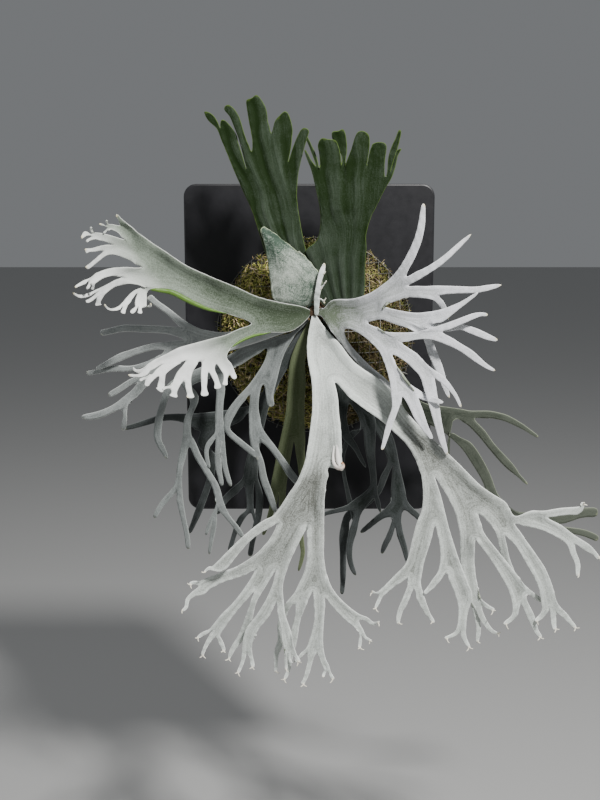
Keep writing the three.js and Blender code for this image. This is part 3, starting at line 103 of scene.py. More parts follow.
MIDDLE = (0, -0.12, -0.02)
lamp("key_lamp", (0.8, -1.5, 1.5), MIDDLE, 0.3, 88, (1.0, 0.99, 0.97))
lamp("fill_lamp", (-1.8, -1.4, 0.5), MIDDLE, 1.2, 4, (0.96, 0.98, 1.0))
lamp("top_lamp", (-0.3, 0.3, 1.8), MIDDLE, 0.8, 9, (1.0, 1.0, 1.0))
world = bpy.data.worlds.new("studio")
world.use_nodes = True
sky = world.node_tree.nodes["Background"].inputs
sky["Color"].default_value = (0.52, 0.54, 0.56, 1)
sky["Strength"].default_value = 0.34
bpy.context.scene.world = world
FLOOR_Z = -0.7
FLOOR_SPAN = 24
bpy.ops.mesh.primitive_plane_add(size=FLOOR_SPAN, location=(0, 0, FLOOR_Z))
floor = bpy.context.object
floor.name = "floor"

# %% [markdown]
# ## Shader maths
# A finish is easier to read as a formula than as a web of nodes. A Signal stands for one socket that varies
# over the surface, and sums and products of signals add Math nodes. A Finish makes every other node in one
# way: its kind, its settings, then its sockets. Colours go through a Mix node, since a Math node would turn
# them grey.

# %% Signal
class Signal:
    """A socket that can be used in sums."""

    def __init__(self, finish, socket):
        self.finish = finish
        self.socket = socket

    def maths(self, operation, *values):
        return self.finish.node("ShaderNodeMath", {"operation": operation}, dict(enumerate(values)))

    def __add__(self, other):
        return self.maths("ADD", self, other)

    def __radd__(self, other):
        return self.maths("ADD", other, self)

    def __sub__(self, other):
        return self.maths("SUBTRACT", self, other)

    def __rsub__(self, other):
        return self.maths("SUBTRACT", other, self)

    def __mul__(self, other):
        return self.maths("MULTIPLY", self, other)

    def __rmul__(self, other):
        return self.maths("MULTIPLY", other, self)

    def size(self):
        return self.maths("ABSOLUTE", self)

    def clamped(self):
        return self.maths("MINIMUM", self.maths("MAXIMUM", self, 0.0), 1.0)


print("sums of signals use", [name for name in vars(Signal) if name.endswith(("add__", "sub__", "mul__"))])

# %% Finish
class Finish:
    """A material and the nodes that it is made of."""

    def __init__(self, name):
        self.material = bpy.data.materials.new(name)
        self.material.use_nodes = True
        self.tree = self.material.node_tree
        self.tree.nodes.clear()

    def node(self, kind, settings=None, sockets=None, output=0):
        """Any node: first its settings, then the values or links of its sockets."""
        made = self.tree.nodes.new(kind)
        for key, value in (settings or {}).items():
            if key == "stops":
                ramp = made.color_ramp
                for i, (place, colour) in enumerate(value):
                    stop = ramp.elements[i] if i < 2 else ramp.elements.new(place)
                    stop.position = place
                    stop.color = (*colour, 1)
            else:
                setattr(made, key, value)
        for key, value in (sockets or {}).items():
            if isinstance(value, Signal):
                self.tree.links.new(value.socket, made.inputs[key])
            elif isinstance(value, tuple) and made.inputs[key].type == "RGBA":
                made.inputs[key].default_value = (*value, 1)
            else:
                made.inputs[key].default_value = value
        return Signal(self, made.outputs[output]) if made.outputs else None

    def attribute(self, name, output="Fac"):
        return self.node("ShaderNodeAttribute", {"attribute_name": name}, output=output)

    def grain(self, scale, detail=2.0, roughness=0.5, place=None):
        """Noise from 0 to 1, at so many lumps a metre of the object or a unit of the place."""
        place = place or self.node("ShaderNodeTexCoord", output="Object")
        sockets = {"Vector": place, "Scale": scale, "Detail": detail, "Roughness": roughness}
        return self.node("ShaderNodeTexNoise", {}, sockets)

    def blend(self, share, one, other):
        """One colour at share 0 and the other at share 1."""
        return self.node("ShaderNodeMix", {"data_type": "RGBA"}, {0: share, 6: one, 7: other}, output=2)

    def bump(self, height, distance, tone_and_painted_light=1.0):
        return self.node("ShaderNodeBump", {}, {"Height": height, "Distance": distance, "Strength": tone_and_painted_light})

    def surface(self, **sockets):
        """The finished material, with these values or signals on its shader."""
        named = {key.replace("_", " "): value for key, value in sockets.items()}
        shader = self.node("ShaderNodeBsdfPrincipled", {}, named, output="BSDF")
        self.node("ShaderNodeOutputMaterial", {}, {"Surface": shader})
        return self.material


finish = Finish("pale_floor")
floor.data.materials.append(finish.surface(Base_Color=(0.44, 0.44, 0.435), Roughness=0.9))
print("first finish", finish.material.name, len(finish.tree.nodes), "nodes")

# %% [markdown]
# ## Putting a piece in place
# Every piece is made in the frame's own place, rides on the one body, and hides the solids it stands for.

# %% Place
def place(name, mesh, materials, slot, *stands_for):
    piece = linked(name, mesh)
    for material in materials:
        mesh.materials.append(material)
    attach(piece, "root")
    if stands_for:
        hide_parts(*stands_for)
    return piece


def thicken(piece, thickness):
    """A back for a thin piece. Its thickness goes behind what was drawn."""
    solid = piece.modifiers.new("thickness", "SOLIDIFY")
    solid.thickness = thickness
    return solid


def write_attribute(mesh, name, values, kind="FLOAT"):
    """A value or a colour for each point, which the finishes read by its name."""
    layer = mesh.attributes.new(name, kind, "POINT")
    field = "color" if kind == "FLOAT_COLOR" else "value"
    layer.data.foreach_set(field, np.asarray(values, np.float32).ravel())


# %% Middles and meshes
def middle_of(box):
    low, high = box
    return (low + high) / 2


def mesh_from(name, bm):
    mesh = bpy.data.meshes.new(name)
    bm.to_mesh(mesh)
    bm.free()
    return mesh


def mesh_of(name, verts, faces):
    mesh = bpy.data.meshes.new(name)
    mesh.from_pydata(verts, [], faces)
    return mesh


# %% [markdown]
# ## A frond, step one: the front sheet
# A frond's solid is a sheet with a front, a back and a narrow rim, 1.2 mm thick everywhere. Only the front is
# wanted, because a smooth front with a thickness of its own gives a better leaf than a smoothed slab. A face
# of the rim has an edge as long as the blade is thick, to a hundredth of a millimetre, and meets the front or
# the back at more than forty degrees. Without the rim the front and the back fall apart, and the front is
# what faces the eye.

# %% Rim and islands
BLADE = 0.0012
BLADE_ERROR = 8e-6
SHARP = 0.7
WELD = 2e-5


def on_rim(face):
    thick = any(abs(edge.calc_length() - BLADE) < BLADE_ERROR for edge in face.edges)
    return thick and any(edge.calc_face_angle(0) > SHARP for edge in face.edges)


def islands(bm):
    """The groups of faces that hang together."""
    left = set(bm.faces)
    while left:
        found, queue = set(), [left.pop()]
        while queue:
            face = queue.pop()
            found.add(face)
            for edge in face.edges:
                near = [other for other in edge.link_faces if other in left]
                left.difference_update(near)
                queue.extend(near)
        yield found


print("a rim face turns by more than", round(math.degrees(SHARP)), "degrees")

# %% Front sheet
FACING_SHARE = 0.2


def front_sheet(node):
    """The front of a frond's solid as a mesh: the sheets that face the eye."""
    bm = bmesh.new()
    bm.from_mesh(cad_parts[node].data)
    bmesh.ops.remove_doubles(bm, verts=bm.verts, dist=WELD)
    bmesh.ops.delete(bm, geom=[face for face in bm.faces if on_rim(face)], context="FACES_ONLY")
    parts = list(islands(bm))
    facing = [sum(f.normal.dot(EYE - f.calc_center_median()) * f.calc_area() for f in part)
              for part in parts]
    away = [f for part, sense in zip(parts, facing) if sense < FACING_SHARE * max(facing) for f in part]
    bmesh.ops.delete(bm, geom=away, context="FACES")
    bmesh.ops.delete(bm, geom=[v for v in bm.verts if not v.link_faces], context="VERTS")
    bmesh.ops.join_triangles(bm, faces=bm.faces[:], angle_face_threshold=1.0, angle_shape_threshold=1.3)
    print(node, "islands", len(parts), "front faces", len(bm.faces))
    return mesh_from(node + "_sheet", bm)


# %% [markdown]
# ## A frond, step two: a fine sheet through the drawn points
# Subdivision takes the corners off. Two rounds leave the points about 2.8 mm apart, and three rounds about
# 1.4 mm. Subdivision alone pulls a mesh away from its points, so the little antler tips would melt. The
# points are therefore moved outwards by what they lost, a few times over, until the fine sheet passes through
# the drawn ones.

# %% Points and modifiers
def values_of(items, field, width=1, kind=float):
    """A field of all the items at once."""
    flat = np.zeros(len(items) * width, kind)
    items.foreach_get(field, flat)
    return flat.reshape(-1, width) if width > 1 else flat


def points_of(mesh):
    return values_of(mesh.vertices, "co", 3)


def set_points(mesh, points):
    mesh.vertices.foreach_set("co", points.ravel())
    mesh.update()


def evaluated(holder):
    """The object as its modifiers leave it."""
    bpy.context.view_layer.update()
    return holder.evaluated_get(bpy.context.evaluated_depsgraph_get())


def built_mesh(holder):
    """A mesh of its own from the object and its modifiers. The object goes."""
    mesh = bpy.data.meshes.new_from_object(evaluated(holder))
    bpy.data.objects.remove(holder)
    return mesh


bm = bmesh.new()
bmesh.ops.create_grid(bm, x_segments=3, y_segments=3, size=0.015)
patch = mesh_from("patch", bm)
print("a patch of three by three squares has", len(points_of(patch)), "points")

# %% Fine sheet
CORRECTION = 0.9


def fine_sheet(sheet, rounds, corrections=8):
    holder = linked("holder", sheet)
    smooth = holder.modifiers.new("round", "SUBSURF")
    smooth.levels = 1
    smooth.boundary_smooth = "ALL"
    drawn = points_of(sheet)
    pulled = drawn.copy()
    for _ in range(corrections):
        rounded = points_of(evaluated(holder).data)[:len(drawn)]
        pulled += (drawn - rounded) * CORRECTION
        set_points(sheet, pulled)
    smooth.levels = rounds
    fine = built_mesh(holder)
    print(len(drawn), "drawn points become", len(fine.vertices))
    return fine


# %% [markdown]
# ## A frond, step three: distances over the leaf
# Felt, rims and tips follow the leaf and not the room. So three distances are stored at each point, in
# millimetres: to the rim, along the frond from the crown, and to the nearest tip. The way along the frond is
# walked over the mesh, because a straight line would jump the gaps between limbs. A tip is a rim point that
# lies further along the frond than every other rim point near it.

# %% Edges and rim
def edges_of(mesh):
    return values_of(mesh.edges, "vertices", 2, int)


def rim_points(mesh):
    """The ends of the edges that only one face uses."""
    uses = np.bincount(values_of(mesh.loops, "edge_index", kind=int), minlength=len(mesh.edges))
    return np.unique(edges_of(mesh)[uses == 1])


print("the patch has", len(edges_of(patch)), "edges and", len(rim_points(patch)), "points on its rim")

# %% The way along a frond
def walk(points, edges, start):
    """How far each point is from the start, over the mesh's edges."""
    lengths = np.linalg.norm(points[edges[:, 0]] - points[edges[:, 1]], axis=1)
    neighbours = [[] for _ in points]
    for (a, b), length in zip(edges.tolist(), lengths.tolist()):
        neighbours[a].append((b, length))
        neighbours[b].append((a, length))
    far = [math.inf] * len(points)
    far[start] = 0.0
    queue = [(0.0, start)]
    while queue:
        here, point = heapq.heappop(queue)
        if here > far[point]:
            continue
        for other, length in neighbours[point]:
            if here + length < far[other]:
                far[other] = here + length
                heapq.heappush(queue, (here + length, other))
    far = np.array(far)
    return np.where(np.isfinite(far), far, 0)


walked = walk(points_of(patch), edges_of(patch), 0)
print("over the edges of the patch, the far corner is", round(float(walked.max()), 3), "m away")

# %% Nearest points and tips
def tree_of(points):
    tree = kdtree.KDTree(len(points))
    for i, point in enumerate(points):
        tree.insert(point, i)
    tree.balance()
    return tree


def nearest(places, points):
    """How far each point is from the nearest of the places."""
    tree = tree_of(places)
    return np.array([tree.find(point)[2] for point in points])


def tips_of(points, rim, along, reach=0.009):
    tree = tree_of(points[rim])
    found = []
    for i, point in zip(rim.tolist(), points[rim]):
        if along[i] >= max(along[rim[j]] for _, j, _ in tree.find_range(point, reach)):
            found.append(i)
    return points[found]


inner = nearest(points_of(patch)[rim_points(patch)], points_of(patch)).max()
print("the patch's inner points are", round(float(inner), 3), "m from its rim")

# %% Three distances
CROWN_X, CROWN_Z = 0.006, 0.056


def distances(mesh, points):
    """Along the frond from the crown, to the rim, and to the nearest tip, in metres."""
    edges, rim = edges_of(mesh), rim_points(mesh)
    start = int(np.argmin(np.hypot(points[:, 0] - CROWN_X, points[:, 2] - CROWN_Z)))
    along = walk(points, edges, start)
    return along, nearest(points[rim], points), nearest(tips_of(points, rim, along), points)


print("the crown is at", CROWN_X, CROWN_Z)

# %% Smoothing
def smoothed(values, edges, rounds):
    """Each point takes the mean of its neighbours, so many times over."""
    ends = np.concatenate([edges, edges[:, ::-1]])
    count = np.bincount(ends[:, 0], minlength=len(values))
    for _ in range(rounds):
        values = np.bincount(ends[:, 0], values[ends[:, 1]], len(values)) / count
    return values


def relaxed(points, edges, fixed, rounds=14):
    """The inner points drift to the middle of their neighbours, which irons out folds. The rim stays."""
    for _ in range(rounds):
        eased = np.stack([smoothed(points[:, axis], edges, 1) for axis in range(3)], 1)
        eased[fixed] = points[fixed]
        points = eased
    return points


in_a_row = np.array([[0, 1], [1, 2], [2, 3], [3, 4]])
print("one high point in a row of five, smoothed", smoothed(np.array([0, 0, 1.0, 0, 0]), in_a_row, 1))

# %% [markdown]
# ## A frond, step four: rim, pleats and thickness
# The rim rolls back a little and waves, the blade sinks into a shallow gutter, and the tips curl forwards.
# The gutter follows the distance to the rim after smoothing, or a crease would run down the middle of each
# limb. The tall shields have pleats, which fan out from a point below the crown, so their phase is simply an
# angle about that point. Two sines of unlike pace keep the pleats uneven. All this moves real points, because
# a bump map would leave the leaf flat when seen from the side. A Solidify modifier then adds the back with
# its own finish, because the underside is a plainer, duller felt.

# %% Relief of a leaf
RIM_ROLL, ROLL_REACH = 0.0003, 0.0009
WAVE_REACH, WAVE_STEP, SCALLOP_STEP = 0.003, 0.0016, 0.0011
GUTTER_REACH, GUTTER_ROUNDS = 0.009, 25
SWELL = 0.0009
DRIFT_SCALE, CRUMPLE_SCALE = 30, 70
TIP_REACH = 0.007
PLEAT_REACH, PLEAT_START = 0.004, 0.05
PLEAT_PACES = (47, 131)
ACROSS_PER_METRE, ACROSS_PER_RADIAN = 550, 110
THICKNESS = 0.001
LEAN_HEIGHT = 0.06


def pleat_crests(points, x, z, drift, seed):
    """How high each point stands in the pleats that fan out from (x, z), and its angle in the fan."""
    angle = np.arctan2(points[:, 0] - x, points[:, 2] - z) + 0.03 * drift
    broad, narrow = np.sin(PLEAT_PACES[0] * angle + seed), np.sin(PLEAT_PACES[1] * angle)
    return (0.8 * broad + 0.3 * narrow) * (0.75 + drift), angle


print("leaves are", THICKNESS * 1000, "mm thick")

# %% Leaf
def leaf(node, slot, front, back, rounds=2, pleats=None, gutter=0.0015, wave=0.0003, scallop=0.0, curl=0.0,
         crumple=0.0, felt_lean=0.0, seed=1):
    mesh = fine_sheet(front_sheet(node), rounds)
    edges = edges_of(mesh)
    points = relaxed(points_of(mesh), edges, rim_points(mesh))
    set_points(mesh, points)
    along, rim, tip = distances(mesh, points)
    normals = values_of(mesh.vertices, "normal", 3)
    drift = np.array([noise.noise(Vector(point) * DRIFT_SCALE + Vector((seed, 0, 0))) for point in points])
    at_rim = np.exp(-rim / WAVE_REACH)
    raised = -RIM_ROLL * np.exp(-rim / ROLL_REACH) + wave * at_rim * np.sin(along / WAVE_STEP + 5 * drift)
    raised += SWELL * drift + curl * np.clip(1 - tip / TIP_REACH, 0, 1) ** 2
    raised -= gutter * (1 - np.exp(-(smoothed(rim, edges, GUTTER_ROUNDS) / GUTTER_REACH) ** 2))
    if crumple:
        lumps = [noise.fractal(Vector(point) * CRUMPLE_SCALE, 0.8, 2.0, 3) for point in points]
        raised += crumple * np.array(lumps)
    crest, across = drift, rim * ACROSS_PER_METRE
    if pleats:
        x, z, height = pleats
        crest, angle = pleat_crests(points, x, z, drift, seed)
        across = ACROSS_PER_RADIAN * angle
        raised += height * crest * (1 - np.exp(-rim / PLEAT_REACH)) * np.clip(along / PLEAT_START, 0, 1)
    moved = points + normals * raised[:, None]
    moved[:, 2] += scallop * at_rim * np.sin(points[:, 0] / SCALLOP_STEP + 4 * drift)
    set_points(mesh, moved)
    felt_along = (along + felt_lean * (LEAN_HEIGHT - points[:, 2])) * 1000
    for name, values in (("rim_mm", rim * 1000), ("along_mm", along * 1000), ("felt_mm", felt_along),
                         ("tip_mm", tip * 1000), ("crest", crest), ("across", across)):
        write_attribute(mesh, name, values)
    mesh.shade_smooth()
    piece = place(node + "_leaf", mesh, [front, back], slot, node)
    solid = thicken(piece, THICKNESS)
    solid.material_offset = 1
    solid.material_offset_rim = 0
    print(node, len(points), "points,", round(float(along.max()), 3), "m long")
    return piece


# %% [markdown]
# ## Leaf finishes
# Star-shaped hairs cover the green blade. Where they lie thick the leaf is silver, where they are rubbed off
# the green shows. A painted picture could show this too, but noise that knows its place on the leaf fits
# every frond alike. The share of felt is a sum: a level read from stops along the frond, fine grain, broad
# mottling and streaks. The streaks are noise in the leaf's own directions, finer across than along, so they
# run with each limb and fork with it. The same noise gives the shields their thin dark veins, as the lines on
# which it passes its middle value. The rim has a bright band about half a millimetre wide, and the tips are
# cream.

# %% Leaf finish
LONGEST_MM = 450
STREAK_MM = 1 / 0.014
WANDER = 7.0
HAIRS_PER_METRE, MOTTLES_PER_METRE = 800, 48
VEIN_SHARPNESS = 16.0
HAIR_HEIGHT = 0.0006


def leaf_finish(name, green, felt, rim, tip, levels, streak=0.55, grain=0.8, mottle=0.3, crests=0.1, painted_mid_shade=0.3,
                whiten=None, veins=0.0, relief=0.0):
    """Whiten turns the felt to a colour between two places along the leaf."""
    f = Finish(name)
    along, rim_mm, felt_mm = f.attribute("along_mm"), f.attribute("rim_mm"), f.attribute("felt_mm")
    stops = [(at / LONGEST_MM, (level, level, level)) for at, level in levels]
    level = f.node("ShaderNodeValToRGB", {"stops": stops}, {"Fac": felt_mm * (1 / LONGEST_MM)})
    sides = {"X": f.attribute("across"), "Y": along * (1 / STREAK_MM), "Z": f.grain(18) * WANDER}
    lines = f.grain(1, 3, place=f.node("ShaderNodeCombineXYZ", {}, sides))
    fine = f.grain(HAIRS_PER_METRE, 2, 0.75)
    broad = f.grain(MOTTLES_PER_METRE, 3)
    cover = level + streak * (lines - 0.5) + grain * (fine - 0.5) + mottle * (broad - 0.5)
    # More than a centimetre from the rim the felt is painted darker, as shade in the curved middle of the
    # blade; a negative share paints the middle lighter, as light on a bulge.
    middle = (rim_mm * 0.1).clamped()
    cover = (cover + crests * f.attribute("crest") - painted_mid_shade * middle).clamped()
    colour = f.blend(cover, green, felt)
    if veins:
        vein = (1.0 - VEIN_SHARPNESS * (lines - 0.5).size()).clamped()
        colour = f.blend(vein * veins, colour, green)
    if whiten:
        share = ((felt_mm - whiten[0]) * (1 / (whiten[1] - whiten[0]))).clamped()
        colour = f.blend(share * 0.9, colour, whiten[2])
    at_rim = (1.3 - rim_mm * 1.6).clamped()
    at_tip = (1.0 - f.attribute("tip_mm") * 0.33).clamped()
    colour = f.blend(at_tip, f.blend(at_rim * 0.8, colour, rim), tip)
    height = fine * 0.7 + lines * 0.5 + broad * relief
    return f.surface(Base_Color=colour, Roughness=0.6 + 0.3 * cover, Normal=f.bump(height, HAIR_HEIGHT, 0.6),
                     Specular_IOR_Level=0.12)


print("streaks are", round(STREAK_MM), "mm long")

# %% [markdown]
# The colours come in one order: the green blade, the felt, the rim and the tip. Then come the levels of felt,
# each as millimetres from the crown and a share.

# %% Finishes of the front
CREAM = (0.8, 0.72, 0.46)
# The silver levels are partly the felt and partly painted light: a painted highlight near 70 mm, where the
# blade faces the lamp, and painted shade near 195 mm, where it curves away.
SILVER_FELT_AND_LIGHT_LEVELS = [(0, 0.8), (70, 1.15), (130, 0.95), (165, 0.85), (195, 0.43), (240, 0.62), (330, 0.7),
                 (400, 0.85)]
silver = leaf_finish("silver_felt", (0.12, 0.125, 0.11), (0.74, 0.79, 0.75), (0.86, 0.88, 0.85),
                     (0.9, 0.84, 0.72), SILVER_FELT_AND_LIGHT_LEVELS, 0.8, 1.0, 0.3, painted_mid_shade=0.38)
silver_left = leaf_finish("silver_green_felt", (0.045, 0.062, 0.036), (0.4, 0.46, 0.39), (0.7, 0.72, 0.68),
                          CREAM, [(0, 0.05), (50, 0.15), (110, 0.35), (160, 0.6), (230, 0.9)],
                          0.4, 0.9, 0.15, painted_mid_shade=0.1, whiten=(150, 215, (0.92, 0.93, 0.92)))
silver_right = leaf_finish("lilac_white_felt", (0.13, 0.16, 0.11), (0.82, 0.83, 0.88), (0.9, 0.9, 0.92),
                           CREAM, [(0, 0.05), (25, 0.2), (60, 0.55), (90, 0.8), (450, 0.95)],
                           0.7, 0.9, painted_mid_shade=0.2)
bud_felt = leaf_finish("bud_felt", (0.3, 0.38, 0.33), (0.82, 0.86, 0.84), (0.92, 0.92, 0.88), CREAM,
                       [(0, 0.3), (25, 0.8), (60, 1.0)], painted_mid_shade=0.3)
shield = leaf_finish("shield_green", (0.009, 0.021, 0.004), (0.07, 0.09, 0.068), (0.11, 0.17, 0.04),
                     (0.05, 0.085, 0.012), [(0, 0.62), (70, 0.55), (120, 0.27), (200, 0.1), (260, 0.0)],
                     0.6, 1.0, 0.8, 0.3, 0.0, veins=0.5)
young = leaf_finish("young_shield_felt", (0.05, 0.085, 0.06), (0.52, 0.57, 0.5), (0.55, 0.64, 0.42),
                    (0.5, 0.56, 0.4), [(0, 0.0), (30, 0.12), (46, 0.3), (62, 0.52), (90, 0.16)],
                    0.9, 1.8, 1.4, 0.2, -0.15, relief=6.0)
print("finishes so far", len(bpy.data.materials))

# %% Finishes of the back
grey = leaf_finish("worn_grey_felt", (0.07, 0.078, 0.075), (0.3, 0.325, 0.32), (0.4, 0.43, 0.41),
                   (0.4, 0.42, 0.34), [(0, 0.5), (80, 0.65), (450, 0.75)], 0.9, 1.0, 0.6)
grey_lit = leaf_finish("lit_grey_felt", (0.16, 0.175, 0.17), (0.5, 0.53, 0.525), (0.6, 0.62, 0.6),
                       (0.5, 0.52, 0.44), [(0, 0.95), (110, 0.85), (200, 0.45), (450, 0.4)], 0.9, 1.0, 0.6)
grey_green = leaf_finish("grey_green_felt", (0.024, 0.032, 0.022), (0.1, 0.112, 0.09), (0.3, 0.33, 0.25),
                         (0.3, 0.33, 0.2), [(0, 0.3), (150, 0.45), (300, 0.9), (450, 1.0)], 0.9, 1.0, 0.6)
# The olive frond's colours are painted lighter than its own olive, as light on a frond that the fronds in
# front shade.
olive = leaf_finish("olive_leaf", (0.055, 0.075, 0.03), (0.19, 0.215, 0.135), (0.24, 0.28, 0.15),
                    (0.12, 0.15, 0.075), [(0, 0.5), (450, 0.5)])
shaded = leaf_finish("shaded_leaf", (0.018, 0.024, 0.02), (0.1, 0.108, 0.112), (0.17, 0.185, 0.18),
                     (0.16, 0.18, 0.12), [(0, 0.4), (450, 0.6)], 0.9, 1.0, 0.6)
underside = leaf_finish("underside_felt", (0.1, 0.14, 0.07), (0.36, 0.39, 0.32), (0.5, 0.52, 0.45), CREAM,
                        [(0, 0.6), (450, 0.8)], 0.3)
dark_underside = leaf_finish("dark_underside", (0.02, 0.035, 0.015), (0.13, 0.155, 0.115), (0.15, 0.18, 0.12),
                             (0.15, 0.18, 0.12), [(0, 0.4), (450, 0.5)], 0.3)
print("leaf finishes", [m.name for m in bpy.data.materials])

# %% [markdown]
# ## The fronds
# The front fronds get three rounds of subdivision, since they carry the picture. The ones behind get two.
# Pleats are given as the place they fan out from and their height, in metres.

# %% Fronds
leaf("frond_centre", "silver_leaf", silver, underside, 3, gutter=0.007, curl=0.0012, seed=3)
leaf("frond_left", "silver_leaf", silver_left, underside, 3, gutter=0.006, curl=0.0015, felt_lean=1.0, seed=5)
leaf("frond_right", "silver_leaf", silver_right, underside, 3, gutter=0.004, seed=7)
leaf("bud_frond", "silver_leaf", bud_felt, bud_felt, 3, gutter=0.0, seed=9)
leaf("shield_left", "shield_leaf", shield, dark_underside, 3, pleats=(0.006, 0.0155, 0.0014), seed=11)
leaf("shield_right", "shield_leaf", shield, dark_underside, 3, pleats=(0.048, 0.003, 0.0014), seed=13)
leaf("shield_young", "shield_young_leaf", young, underside, 3, gutter=-0.005, wave=0.0008, scallop=0.0007,
     crumple=0.0012, seed=15)
BACK_FRONDS = {
    "frond_left_back": ("grey_leaf", grey_lit, dark_underside),
    "frond_left_hanging": ("grey_leaf", grey, dark_underside),
    "frond_right_back": ("grey_leaf", grey_green, grey_green),
    "frond_olive": ("olive_leaf", olive, dark_underside),
    "frond_left_low": ("shaded_leaf", shaded, shaded),
    "frond_right_low": ("shaded_leaf", shaded, shaded),
    "frond_slate": ("shaded_leaf", shaded, shaded),
}
for n, (node, (slot, front, back)) in enumerate(BACK_FRONDS.items()):
    leaf(node, slot, front, back, seed=20 + n)

# %% [markdown]
# ## Turned hems
# In two places the lower rim of the left frond rolls forwards, and the fresh green underside shows as a
# narrow band. The leaf itself could be bent round, but it would crease. So each hem is a gutter-shaped strip
# that starts on the frond's own rim and can't drift off the leaf. The rim points are picked by where they
# appear on a drawing sheet 100 mm in front of the board, as the eye sees it, and the band is widest a third
# of the way along.

# %% Drawing sheet
SHEET_OUT = 0.1


def on_sheet(point):
    """The place on the drawing sheet where the eye sees a point."""
    share = (EYE.y + SHEET_OUT) / (EYE.y - point[1])
    return EYE.x + (point[0] - EYE.x) * share, EYE.z + (point[2] - EYE.z) * share


def from_sheet(leaf_piece, x, z):
    """The point of a leaf that the eye sees at a place on the drawing sheet."""
    aim = Vector((x, -SHEET_OUT, z)) - EYE
    return leaf_piece.ray_cast(EYE, aim.normalized())[1]


print("on the sheet the crown is at", on_sheet((CROWN_X, -SHEET_OUT, CROWN_Z)))

# %% Hem
HEM_BAND = 0.004
HEM_THICKNESS = 0.0005
HEM_PROFILE = ((-0.1, 0.0006), (0.35, 0.0012), (0.75, 0.001), (1.0, -0.0004), (0.9, -0.0022), (0.3, -0.003))


def hem(name, leaf_piece, line, widest):
    """A strip along the rim near the line. Its profile is a share of its width down, and metres forward."""
    mesh = leaf_piece.data
    points = points_of(mesh)
    xs, zs = np.array(line).T / 1000
    chosen = []
    for i in rim_points(mesh):
        x, z = on_sheet(points[i])
        if xs[0] < x < xs[-1] and abs(z - np.interp(x, xs, zs)) < HEM_BAND:
            chosen.append((x, Vector(points[i])))
    chosen = [point for _, point in sorted(chosen, key=lambda pair: pair[0])][::2]
    verts, faces = [], []
    for n, point in enumerate(chosen):
        t = n / (len(chosen) - 1)
        width = widest * math.sin(math.pi * t ** 0.7) ** 0.7 if 0 < t < 1 else 0.0
        ahead = chosen[min(n + 2, len(chosen) - 1)] - chosen[max(n - 2, 0)]
        forward = (EYE - point).normalized()
        down = ahead.cross(forward).normalized()
        down = down if down.z < 0 else -down
        verts += [point + down * width * drop + forward * out for drop, out in HEM_PROFILE]
    row = len(HEM_PROFILE)
    for n in range(len(chosen) - 1):
        for a in range(n * row, n * row + row - 1):
            faces.append((a, a + 1, a + row + 1, a + row))
    strip = mesh_of(name, verts, faces)
    strip.shade_smooth()
    thicken(place(name, strip, [green_hem], "silver_leaf"), HEM_THICKNESS)
    print(name, len(chosen), "rim points")


# %% Hems of the left frond
f = Finish("green_hem")
veins = f.grain(600, 3, 0.7)
green_hem = f.surface(Base_Color=f.blend(veins, (0.05, 0.14, 0.01), (0.15, 0.26, 0.04)), Roughness=0.5)
left = bpy.data.objects["frond_left_leaf"]
hem("frond_left_hem", left, [(-182, 82), (-168, 85), (-158, 80), (-140, 73), (-120, 64), (-95, 53)], 0.0052)
hem("frond_left_low_hem", left, [(-91, 15), (-80, 25), (-68, 30), (-55, 33), (-43, 34)], 0.003)

# %% [markdown]
# ## Tubes in bulk
# Moss fibres, netting, staples and the little horns are all thin tubes. A curve with a bevel would do for one
# of them, but thousands of objects are slow. So one helper turns many paths into one mesh: a ring of points
# around each path point, skinned with quads.

# %% Skin of a tube
def skin(base, rows, sides):
    """The faces of a closed tube, whose rings of points start at base."""
    faces = []
    for start in range(base, base + (rows - 1) * sides, sides):
        for k in range(sides):
            a, b = start + k, start + (k + 1) % sides
            faces.append((a, b, b + sides, a + sides))
    faces.append(tuple(range(base + sides - 1, base - 1, -1)))
    faces.append(tuple(range(base + (rows - 1) * sides, base + rows * sides)))
    return faces


print("a tube of two rings with three sides has", len(skin(0, 2, 3)), "faces")

# %% Tubes
NO_PATH_RUNS = (0.31, 0.83, 0.46)
TINY = 1e-12


def tubes(name, paths, radii, sides, tints=None, fade=None):
    """One mesh of closed tubes. The radii are one for each path, or one for each of its points."""
    verts, faces, colours, base = [], [], [], 0
    turn = np.arange(sides) / sides * 2 * math.pi
    for n, (path, radius) in enumerate(zip(paths, radii)):
        path = np.asarray(path)
        way = np.gradient(path, axis=0)
        way /= np.linalg.norm(way, axis=1, keepdims=True) + TINY
        side = np.cross(way, NO_PATH_RUNS)
        side /= np.linalg.norm(side, axis=1, keepdims=True) + TINY
        other = np.cross(way, side)
        size = np.broadcast_to(radius, len(path))[:, None, None]
        ring = np.cos(turn)[:, None] * side[:, None] + np.sin(turn)[:, None] * other[:, None]
        verts.append((path[:, None] + ring * size).reshape(-1, 3))
        faces += skin(base, len(path), sides)
        base += len(verts[-1])
        if tints:
            light = np.outer(np.repeat(fade, sides), tints[n])
            colours.append(np.column_stack([light, np.ones(len(light))]))
    mesh = mesh_of(name, np.concatenate(verts).tolist(), faces)
    if tints:
        write_attribute(mesh, "tint", np.concatenate(colours), "FLOAT_COLOR")
    mesh.shade_smooth()
    return mesh


# %% [markdown]
# ## The rolled lobe
# Half way down, the hanging frond has a stunted lobe on its right rim that has rolled up into a small scroll,
# withered brown at its end. A rolled sheet would show only its outside, so solid tubes do: a tapered roll
# that hooks round under a pad of blade and back on itself. Its places are given on the drawing sheet, in
# millimetres, and set just in front of the frond.

# %% Paths off the sheet
BESIDE_MM = 5


def travelled(points):
    """How far along its path each point is."""
    return np.concatenate([[0], np.cumsum(np.linalg.norm(np.diff(points, axis=0), axis=1))])


